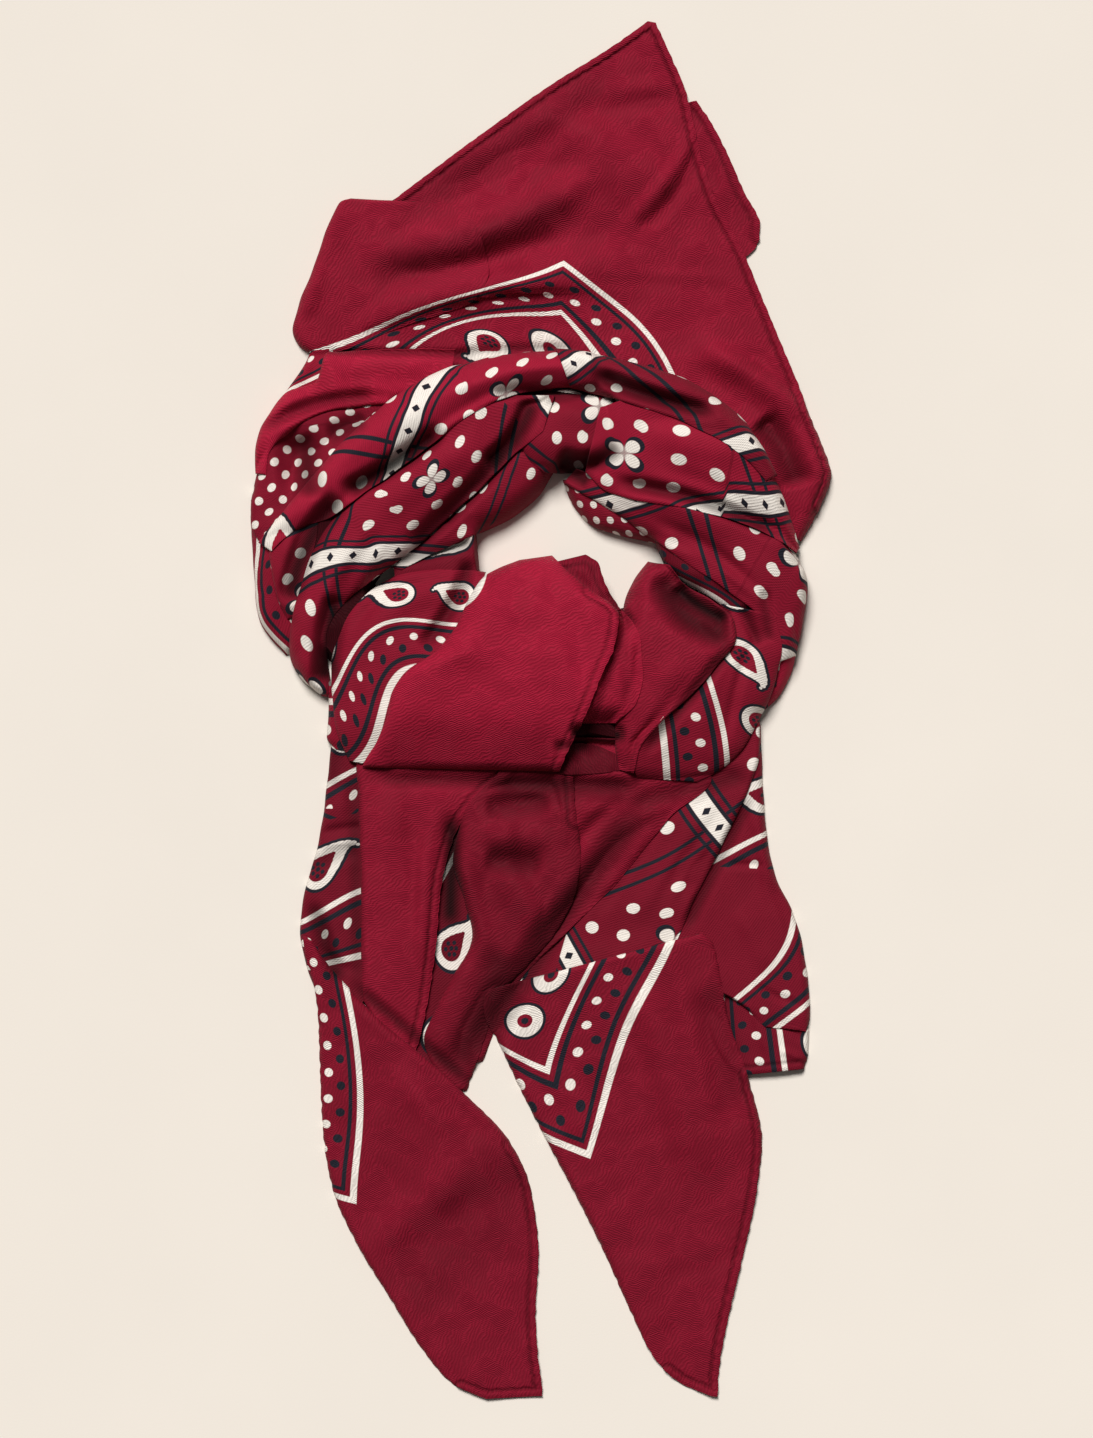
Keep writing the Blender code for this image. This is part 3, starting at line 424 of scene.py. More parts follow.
def wandering(points, hems, side, seed):
    """How far each point of an edge wanders sideways, the same on each run."""
    chance = np.random.RandomState(seed)
    lengths = running(np.hypot(*np.diff(points, axis=0).T))
    hemmed = any(Hem(*row).side == side for row in hems)
    waves, amount = (HEM_WAVES, HEM_WANDER) if hemmed else (EDGE_WAVES, EDGE_WANDER)
    total = np.zeros_like(lengths)
    for length in waves:
        total += np.sin(2 * np.pi * lengths / length + chance.uniform(*SHIFTS)) * chance.uniform(*WAVE_SHARES)
    return total * amount * WAVE_SCALE


def surface(stretch, ground, seed):
    """Grid of points of a stretch's upper side, resting on the ground laid so far, and the painted shade at each one (1
    where none).
    """
    rows = np.array(stretch.sections, float)
    moves = np.diff(rows[:, 0:4], axis=0)
    length = np.maximum(np.hypot(moves[:, 0], moves[:, 1]), np.hypot(moves[:, 2], moves[:, 3])).sum()
    widest = np.hypot(rows[:, 2] - rows[:, 0], rows[:, 3] - rows[:, 1]).max()
    along = int(np.clip(round(length / CELL), LEAST_CELLS, MOST_ROWS))
    across = int(np.clip(round(widest / CELL * ACROSS_MORE), LEAST_CELLS, MOST_COLUMNS))
    even = np.linspace(0.0, 1.0, along + 1)
    rounded = 0.5 - 0.5 * np.cos(np.pi * even)
    line, stations = smooth_rows(stretch.sections, even * (1 - END_SHARE) + rounded * END_SHARE)
    left = np.stack([line.left_x, line.left_y], axis=1)
    right = np.stack([line.right_x, line.right_y], axis=1)
    heading = (right - left) / np.linalg.norm(right - left, axis=1)[:, None]
    left = left + heading * wandering(left, stretch.hems, "left", seed)[:, None]
    right = right + heading * wandering(right, stretch.hems, "right", seed + 1)[:, None]
    width = np.linalg.norm(right - left, axis=1)
    share = 0.5 - 0.5 * np.cos(np.linspace(0.0, np.pi, across + 1))
    x = left[:, None, 0] + (right - left)[:, None, 0] * share
    y = left[:, None, 1] + (right - left)[:, None, 1] * share

    top = line.left_top[:, None] + (line.right_top - line.left_top)[:, None] * share
    top = top + fold_height(stretch.folds, x, y) + drop_height(stretch.drops, x, y) + unevenness(x, y, seed)
    top = top + ground.at(ground.dip, x, y)
    left_turn = np.minimum(line.left_turn * stretch.rounder, width * MOST_TURN)
    right_turn = np.minimum(line.right_turn * stretch.rounder, width * MOST_TURN)
    rise = turn(share * width[:, None], left_turn[:, None])
    rise = rise * turn((1 - share) * width[:, None], right_turn[:, None])
    rise = rise * turn(stations, np.full_like(stations, stretch.start_turn))[:, None]
    rise = rise * turn(stations[-1] - stations, np.full_like(stations, stretch.end_turn))[:, None]
    below = ground.at(ground.soft, x, y)
    apart = np.ones_like(x)
    if stretch.merges:
        edge_x, edge_y = (edge[::MERGE_STEP] for edge in hem_line(Hem(stretch.merges, 0, 1), x, y))
        away = np.min(np.hypot(x[..., None] - edge_x, y[..., None] - edge_y), axis=-1)
        apart = np.clip(away / MERGE, 0.0, 1.0)
        apart = apart * apart * (3 - 2 * apart)
    z = below + np.maximum(top - below, DRAPE) * rise * apart
    # Painted shade of the valleys, taken from the map.
    light = ground.at(ground.light, x, y)
    if stretch.hems:
        # The hem's painted shade is multiplied into the valleys' painted shade.
        relief, hem_painted_shade = hem_relief(stretch.hems, x, y, seed)
        z, light = z + relief, light * hem_painted_shade
    z = np.maximum(z, ground.at(ground.raw, x, y) + (CLOTH + CLEAR) * apart + CLEAR)
    return np.stack([x, y, z], axis=-1), light


def unrolled(grid):
    """Coordinates of each point of the grid on the cloth laid flat: along the stretch, and across it."""
    along = running(np.linalg.norm(np.diff(grid, axis=0), axis=2).mean(axis=1))
    across = np.cumsum(np.linalg.norm(np.diff(grid, axis=1), axis=2), axis=1)
    across = np.hstack([np.zeros((len(grid), 1)), across])
    across -= across[:, -1:] / 2
    return np.stack([np.repeat(along[:, None], grid.shape[1], axis=1), across], axis=-1)


def turned_plan(grid, merges):
    """Each point's place seen from above, turned to run along the stretch: the weave of cloth that lies flat."""
    run = grid[-1, :, :2].mean(axis=0) - grid[0, :, :2].mean(axis=0)
    run = np.array(BACK_RUN) if merges else run / np.hypot(*run)
    x, y = grid[..., 0], grid[..., 1]
    return np.stack([x * run[0] + y * run[1], y * run[0] - x * run[1]], axis=-1)


def printed_places(grid, flat, pins):
    """Distances from the two hems for each point: a turn and shift that suit the pins best, bent to meet them.

    flat is the grid's cloth, laid out flat or seen from above.
    """
    found = []
    for pin in pins:
        away = (grid[..., 0] - pin.x) ** 2 + (grid[..., 1] - pin.y) ** 2
        found.append((pin.x, pin.y) if flat is grid else flat[np.unravel_index(np.argmin(away), away.shape)])
    found = np.array(found)
    wanted = np.array([(pin.a, pin.b) for pin in pins])
    middle, aim = found.mean(axis=0), wanted.mean(axis=0)
    held = found - middle
    best = None
    for mirror in (1.0, -1.0):
        turned = (wanted - aim) * np.array([1.0, mirror])
        size = (held**2).sum()
        same = (held * turned).sum() / size
        crossed = (held[:, 0] * turned[:, 1] - held[:, 1] * turned[:, 0]).sum() / size
        matrix = np.array([[same, crossed], [-crossed, same]]) * np.array([1.0, mirror])
        miss = wanted - aim - held @ matrix
        if best is None or (miss**2).sum() < best[0]:
            best = (miss**2).sum(), matrix, miss
    _, matrix, miss = best
    pull = np.exp(-((found[:, None] - found[None]) ** 2).sum(axis=2) / (2 * PIN_REACH**2))
    weights = np.linalg.solve(pull + PIN_EASE * np.eye(len(pins)), miss)
    places = (flat - middle) @ matrix + aim
    for spot, weight in zip(found, weights):
        reach = np.exp(-((flat - spot) ** 2).sum(axis=2) / (2 * PIN_REACH**2))
        places += reach[..., None] * weight
    return places


def placed(name, data):
    """A new object in the scene."""
    thing = bpy.data.objects.new(name, data)
    bpy.context.scene.collection.objects.link(thing)
    return thing


def cloth_object(stretch, grid, light, material):
    """The stretch as a thin sheet, with its print's places and the shade painted into its folds as UVs."""
    rows, columns = grid.shape[:2]
    index = np.arange(rows * columns).reshape(rows, columns)
    corners = np.stack([index[:-1, :-1], index[:-1, 1:], index[1:, 1:], index[1:, :-1]], axis=-1)
    diagonal = grid[1:, 1:] - grid[:-1, :-1]
    other = grid[1:, :-1] - grid[:-1, 1:]
    if np.cross(diagonal, other)[..., 2].sum() < 0:
        corners = corners[..., ::-1]
    flat = unrolled(grid)
    shares = (np.arange(rows - 1) + 0.5) / (rows - 1)
    places = np.zeros(corners.shape + (2,))
    for area in (Area(*row) for row in stretch.areas):
        pins = [Pin(*row) for row in area.pins]
        seen = grid[..., :2]
        spot = printed_places(seen, seen, pins)
        if area.follows == "both":
            spot = (spot + printed_places(seen, flat, pins)) / 2
        inside = (shares >= area.first) & (shares <= area.last)
        places[inside] = spot.reshape(-1, 2)[corners][inside]

    mesh = bpy.data.meshes.new("cloth_" + stretch.name)
    faces = corners.reshape(-1, 4)
    mesh.from_pydata((grid.reshape(-1, 3) * MM).tolist(), [], faces.tolist())
    lies_flat = all(Area(*row).follows == "plan" for row in stretch.areas)
    weave = (turned_plan(grid, stretch.merges) if lies_flat else flat).reshape(-1, 2)[corners]
    # The "depth" UV carries the shade painted into the folds and the hem's groove.
    depth = np.stack([light, np.zeros_like(light)], axis=-1).reshape(-1, 2)[corners]
    for name, values in (("print", places), ("weave", weave), ("depth", depth)):
        layer = mesh.uv_layers.new(name=name)
        layer.data.foreach_set("uv", values.reshape(-1).astype(np.float32))
    mesh.polygons.foreach_set("use_smooth", np.ones(len(faces), bool))
    mesh.materials.append(material)
    piece = placed("cloth_" + stretch.name, mesh)
    thickness = piece.modifiers.new("Thickness", "SOLIDIFY")
    thickness.thickness = CLOTH * MM
    thickness.offset = -1.0

    steps_a, steps_b = np.diff(grid, axis=0)[:, :-1], np.diff(grid, axis=1)[:-1]
    area = np.linalg.norm(np.cross(steps_a, steps_b), axis=2).sum() * MM**2
    width = np.linalg.norm(np.diff(grid, axis=1), axis=2).sum(axis=1).max() * MM
    length = max(flat[-1, 0, 0] * MM, area / width)
    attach(piece, "root")
    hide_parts(stretch.name)
    return piece


def fill(tree, node, inputs):
    """Sets a node's inputs, given by name or place, each to a number or a colour, or links a socket to it."""
    for place, given in inputs.items():
        given = given.socket if isinstance(given, Value) else given
        if isinstance(given, bpy.types.NodeSocket):
            tree.links.new(given, node.inputs[place])
        else:
            node.inputs[place].default_value = given


class Value:
    """A number in a node tree, so that a formula can be written as one."""

    def __init__(self, tree, socket):
        self.tree = tree
        self.socket = socket

    def do(self, operation, *others, clamp=False):
        node = self.tree.nodes.new("ShaderNodeMath")
        node.operation = operation
        node.use_clamp = clamp
        fill(self.tree, node, dict(enumerate((self, *others))))
        return Value(self.tree, node.outputs[0])

    def __add__(self, other):
        return self.do("ADD", other)

    def __sub__(self, other):
        return self.do("SUBTRACT", other)

    def __mul__(self, other):
        return self.do("MULTIPLY", other)

    def __truediv__(self, other):
        return self.do("DIVIDE", other)

    def __neg__(self):
        return self.do("MULTIPLY", -1.0)

    def least(self, other):
        return self.do("MINIMUM", other)

    def most(self, other):
        return self.do("MAXIMUM", other)

    def size(self):
        return self.do("ABSOLUTE")

    def rounded(self):
        return self.do("ROUND")

    def repeated(self, pitch):
        """How far it is past the nearest multiple of pitch."""
        return self - (self / pitch).rounded() * pitch

    def ink(self):
        """1 where this is above 0 and 0 where it is below, with a soft edge."""
        return self.do("MULTIPLY_ADD", 1.0 / INK_EDGE, 0.5, clamp=True)

    def off(self):
        return (-self + 1.0).do("MAXIMUM", 0.0)


def distance(x, y, centre_x=0.0, centre_y=0.0):
    dx, dy = x - centre_x, y - centre_y
    return (dx * dx + dy * dy).do("SQRT")


def within(value, span):
    return (value - span[0]).ink() * (-value + span[1]).ink()


def circles(x, y, table):
    """Distance to a shape made of circles, below 0 inside it."""
    total = None
    for centre_x, centre_y, radius in table:
        away = distance(x, y, centre_x, centre_y) - radius
        total = away if total is None else total.least(away)
    return total


def border_inks(a, b):
    """Cream and navy of the border: lines, two rows of dots, paisleys, and a roundel in the corner."""
    d, t = a.least(b), a.most(b)
    cream = within(d, OUTER_CREAM).most(within(d, INNER_CREAM))
    navy = within(d, OUTER_NAVY).most(within(d, INNER_NAVY))

    dots = []
    for row_at, later in ((CREAM_DOTS_AT, 0.0), (NAVY_DOTS_AT, 0.5)):
        step = ((t / DOT_PITCH - later).rounded() + later) * DOT_PITCH
        dot = (-distance(d - row_at, t - step) + BORDER_DOT).ink()
        dots.append(dot * (step - row_at + 1.0).ink())
    cream, navy = cream.most(dots[0]), navy.most(dots[1])

    first_arm = (a - b).ink()
    past = t - MOTIFS_AT - first_arm * ARM_SHIFT
    count = (past / MOTIF_PITCH).rounded()
    x, y = past - count * MOTIF_PITCH, d - MOTIFS_AT
    row = (count - 0.5).ink() * (-y.size() + MOTIF_ROOM).ink()
    body, core, seeds = (circles(x, y, table) for table in (PAISLEY, PAISLEY_CORE, PAISLEY_SEEDS))
    cream = cream.most(row * (-body).ink() * core.ink())
    navy = navy.most(row * (within(body, (0.0, PAISLEY_LINE)).most((-seeds).ink())))

    away = distance(a - MOTIFS_AT, b - MOTIFS_AT).least(distance(a - MOTIFS_AT - NEXT_ROUNDEL, b - MOTIFS_AT))
    ring, face, heart, eye = ROUNDEL
    cream = cream.most(within(away, (heart, face)))
    navy = navy.most(within(away, (face, ring))).most((-away + eye).ink())
    return cream, navy


def ribbon(away, along):
    """Cream and navy of one way of ribbons, piped, with a thin line beside it and a row of lozenges in it."""
    off = away.size()
    beads = along.repeated(LOZENGE_PITCH).size()
    lozenge = (-(off * LOZENGE_SLOPE + beads) + LOZENGE).ink()
    cream = (-off + RIBBON).ink() * lozenge.off()
    navy = within(off, (RIBBON, RIBBON + PIPING)).most(within(off, SIDE_LINE)).most(lozenge)
    return cream, navy


def field_inks(a, b):
    """Cream and navy of the field: dots, piped ribbons crossed by twin lines, and a four-petal rosette between."""
    dots = (-distance(a.repeated(FIELD_PITCH), b.repeated(FIELD_PITCH)) + FIELD_DOT).ink()
    ways = [(diagonal * DIAGONAL - RIBBON_AT).repeated(RIBBON_PITCH) for diagonal in (a + b, a - b)]
    cream, navy = ribbon(ways[1], ways[0])
    beside = (ways[1].size() - RIBBON - PIPING).ink()
    navy = navy.most(within(ways[0].size(), TWIN_LINE) * beside)
    for way in ways:
        dots = dots * (way.size() - RIBBON_CLEAR).ink()

    x, y = -ways[0].size() + RIBBON_PITCH / 2, -ways[1].size() + RIBBON_PITCH / 2
    away = distance(x, y)
    spread = (x * x - y * y).size()
    fourth = away * away * away * away
    sizes = (ROSETTE, ROSETTE - PETAL_LINE)
    petals, hearts = (((spread * size**2 - fourth) / PETAL_EASE).ink() for size in sizes)
    dots = dots * (away - ROSETTE_CLEAR).ink()
    return cream.most(hearts).most(dots), navy.most(petals * hearts.off())


def printed_inks(a, b):
    """Cream and navy of the border, and of the field inside it."""
    inside = (a.least(b) - FIELD_FROM).ink()
    pairs = zip(border_inks(a, b), field_inks(a, b))
    return [border * inside.off() + field * inside for border, field in pairs]


def dotted_inks(a, b):
    """Cream and navy of the cloth with small dots only."""
    cream = (-distance(a.repeated(SMALL_PITCH), b.repeated(SMALL_PITCH)) + SMALL_DOT).ink()
    return cream, cream * 0.0


def mixed(tree, factor, first, second):
    """first where factor is 0 and second where it is 1. Each is a colour or a socket."""
    node = tree.nodes.new("ShaderNodeMix")
    node.data_type = "RGBA"
    fill(tree, node, {0: factor, 6: first, 7: second})
    return node.outputs[2]


def noise(tree, coordinates, scale, detail=2.0, roughness=0.5):
    node = tree.nodes.new("ShaderNodeTexNoise")
    fill(tree, node, {"Vector": coordinates, "Scale": scale, "Detail": detail, "Roughness": roughness})
    return Value(tree, node.outputs["Fac"])


def wave(tree, coordinates, scale, distortion, detail_scale, bands="DIAGONAL"):
    node = tree.nodes.new("ShaderNodeTexWave")
    node.bands_direction = bands
    inputs = {"Scale": scale, "Distortion": distortion, "Detail": 2.0, "Detail Scale": detail_scale}
    fill(tree, node, inputs | {"Vector": coordinates})
    return Value(tree, node.outputs["Fac"])


def new_material(name):
    """A material, its node tree and its shader."""
    material = bpy.data.materials.new(name)
    material.use_nodes = True
    return material, material.node_tree, material.node_tree.nodes["Principled BSDF"]


def object_space(tree):
    return tree.nodes.new("ShaderNodeTexCoord").outputs["Object"]


def uv_map(tree, name):
    node = tree.nodes.new("ShaderNodeUVMap")
    node.uv_map = name
    return node.outputs["UV"]


def split(tree, vector):
    """The first two numbers of a vector."""
    node = tree.nodes.new("ShaderNodeSeparateXYZ")
    tree.links.new(vector, node.inputs[0])
    return Value(tree, node.outputs[0]), Value(tree, node.outputs[1])


def darker(colour, share):
    return [share * value for value in colour[:3]] + [1.0]


def bump(tree, height, strength, reach):
    """The way a surface faces where a height roughens it."""
    node = tree.nodes.new("ShaderNodeBump")
    fill(tree, node, {"Height": height, "Strength": strength, "Distance": reach})
    return node.outputs[0]


def cloth_material(name, kind, shade=1.0):
    """The cloth's material. Its last argument is how light its burgundy is painted: partly the side of the cloth that
    shows, partly painted light and shade.

    The kind is "printed" or "dotted" (twill), "bordered" (the same print on embossed cloth), "plain" (embossed) or
    "inside" (embossed, for the CAD node that has no UVs).
    """
    material, tree, shader = new_material(name)
    if kind == "inside":
        scaled = tree.nodes.new("ShaderNodeVectorMath")
        scaled.operation = "SCALE"
        fill(tree, scaled, {0: object_space(tree), "Scale": 1.0 / MM})
        coordinates = scaled.outputs[0]
    else:
        coordinates = uv_map(tree, "weave")

    ribs = wave(tree, coordinates, TWILL_SCALE, distortion=0.5, detail_scale=0.6)
    patches = noise(tree, coordinates, PATCH_SCALE, detail=1.0)
    turning = (patches - 0.46).do("MULTIPLY", 9.0, clamp=True)
    faint = (patches - 0.38).do("MULTIPLY", 4.0, clamp=True) * 0.7 + 0.3
    emboss = wave(tree, coordinates, EMBOSS_SCALE, distortion=9.0, detail_scale=0.7) * turning.off()
    emboss = emboss + wave(tree, coordinates, EMBOSS_SCALE * 1.4, 8.0, 0.5, bands="X") * turning
    fuzz = noise(tree, coordinates, scale=0.9, detail=3.0, roughness=0.7)
    share = PRINTED_EMBOSS if kind in ("printed", "dotted") else PLAIN_EMBOSS
    height = ribs * (0.45 - 0.4 * share) + emboss * faint * share + fuzz * FUZZ_SHARE

    # Tone differs at random in patches; the weave's high ribs are painted lighter than its hollows, partly the threads'
    # own tone, partly painted highlight.
    tone = noise(tree, coordinates, scale=0.02, detail=3.0) * 0.5 + height * 0.5
    # The burgundy is painted lighter or darker for each stretch: painted light and shade, partly the side of the cloth
    # that shows.
    colour = mixed(tree, tone, darker(DEEP_BURGUNDY, shade), darker(BURGUNDY, shade))
    if kind in ("printed", "dotted", "bordered"):
        places = split(tree, uv_map(tree, "print"))
        wobbles = [noise(tree, coordinates, scale, detail=1.0) for scale in (0.11, 0.13)]
        a, b = (place + (wobble - 0.5) * (2 * WOBBLE) for place, wobble in zip(places, wobbles))
        cream, navy = dotted_inks(a, b) if kind == "dotted" else printed_inks(a, b)
        colour = mixed(tree, cream, colour, mixed(tree, tone, darker(CREAM, 0.9), CREAM))
        colour = mixed(tree, navy, colour, NAVY)
    # Colour value: the weave's ribs painted lighter than its hollows, partly painted highlight.
    value = height * 0.5 + 0.75
    if kind != "inside":
        # Times the shade painted into the folds and the hem's groove, carried by the "depth" UV.
        value = value * split(tree, uv_map(tree, "depth"))[0]
    weave_tone_and_painted_shade = tree.nodes.new("ShaderNodeHueSaturation")
    fill(tree, weave_tone_and_painted_shade, {"Color": colour, "Value": value})
    looks = {"Base Color": weave_tone_and_painted_shade.outputs[0], "Roughness": fuzz * 0.12 + 0.68, "Specular IOR Level": 0.11}
    looks |= {"Sheen Weight": 0.035, "Sheen Roughness": 0.45, "Sheen Tint": SHEEN_TINT}
    fill(tree, shader, looks | {"Normal": bump(tree, height, 0.8, RELIEF * MM)})
    return material


def laid_cloth():
    """Every stretch as its own piece of thin cloth, laid from the lowest to the highest."""
    ground = Ground()
    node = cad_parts[HIDDEN]
    tree = BVHTree.FromObject(node, bpy.context.evaluated_depsgraph_get())
    for row in range(0, ground.raw.shape[0] - 1, HIDDEN_STEP):
        for column in range(0, ground.raw.shape[1] - 1, HIDDEN_STEP):
            start = Vector(((column + ground.LOW_X) * MM, (row + ground.LOW_Y) * MM, 1.0))
            hit = tree.ray_cast(start, Vector((0.0, 0.0, -1.0)))[0]
            if hit is not None:
                ground.raw[row : row + HIDDEN_STEP, column : column + HIDDEN_STEP] = hit.z / MM
    ground.settle()
    materials = {}
    for number, stretch in enumerate(STRETCHES):
        grid, light = surface(stretch, ground, 10 * number)
        ground.lay(grid[..., 0], grid[..., 1], grid[..., 2])
        # One copy of a cloth's material for each painted light of its burgundy: lit and shaded copies of one cloth.
        look = stretch.cloth, stretch.shade
        if look not in materials:
            materials[look] = cloth_material(f"{stretch.cloth}_cloth_{round(100 * stretch.shade)}", *look)
        cloth_object(stretch, grid, light, materials[look])
    node.data.materials.clear()
    # The hidden layers' cloth is painted dark: painted shade for the gaps between the stretches.
    node.data.materials.append(cloth_material("inside_cloth_painted_shade", "inside", HIDDEN_PAINTED_SHADE))


def floor():
    """The pale, faintly uneven surface that the bandana lies on."""
    mesh = bpy.data.meshes.new("floor")
    corners = [(-FLOOR, -FLOOR, 0), (FLOOR, -FLOOR, 0), (FLOOR, FLOOR, 0), (-FLOOR, FLOOR, 0)]
    mesh.from_pydata(corners, [], [(0, 1, 2, 3)])
    material, tree, shader = new_material("floor")
    source = object_space(tree)
    mottle, grain = noise(tree, source, scale=6.0, detail=4.0), noise(tree, source, scale=900.0, detail=3.0)
    looks = {"Base Color": mixed(tree, mottle, darker(FLOOR_CREAM, 0.94), FLOOR_CREAM), "Roughness": 0.9}
    fill(tree, shader, looks | {"Specular IOR Level": 0.15, "Normal": bump(tree, grain, 0.15, FLOOR_GRAIN * MM)})
    mesh.materials.append(material)
    plane = placed("floor", mesh)


def sun():
    """A broad, soft light from above the top of the picture."""
    data = bpy.data.lights.new("key", "SUN")
    data.energy = SUN_STRENGTH
    data.angle = SUN_SPREAD
    data.color = SUN_COLOUR
    light = placed("key", data)
    light.rotation_euler = Vector(SUN_FROM).to_track_quat("Z", "Y").to_euler()


def sky():
    """An even, weak light from all around."""
    world = bpy.data.worlds.new("world")
    bpy.context.scene.world = world
    world.use_nodes = True
    tree = world.node_tree
    fill(tree, tree.nodes["Background"], {"Color": SKY_COLOUR, "Strength": SKY_STRENGTH})


def camera():
    """Straight above, from far enough that heights barely shift what is seen."""
    data = bpy.data.cameras.new("camera")
    data.lens = LENS
    data.sensor_fit = "VERTICAL"
    data.sensor_height = SENSOR
    eye = placed("camera", data)
    eye.location = (VIEW_X * MM, VIEW_Y * MM, VIEW_HEIGHT * MM * LENS / SENSOR)
    bpy.context.scene.camera = eye


BACK_PINS = [
    (73, 459, 0, 0), (-95, 340, 0, 206), (-135, 341, 8, 260), (-160, 260, 104, 318), (140, 298, 172, 0),
    (185, 185, 290, 0), (150, 200, 282, 52), (130, 178, 296, 92), (172, 140, 350, 30), (40, 330, 110, 90),
    (-150, 238, 132, 308), (-100, 258, 132, 254), (-50, 272, 132, 202), (15, 297, 132, 132), (38, 279, 162, 132),
    (55, 268, 183, 132), (85, 230, 231, 132), (-90, 235, 169, 285), (-60, 258, 169, 250), (-40, 264, 169, 230),
    (15, 265, 169, 169), (25, 250, 186, 169), (40, 235, 207, 169), (-40, 243, 196, 248), (8, 239, 196, 196),
]

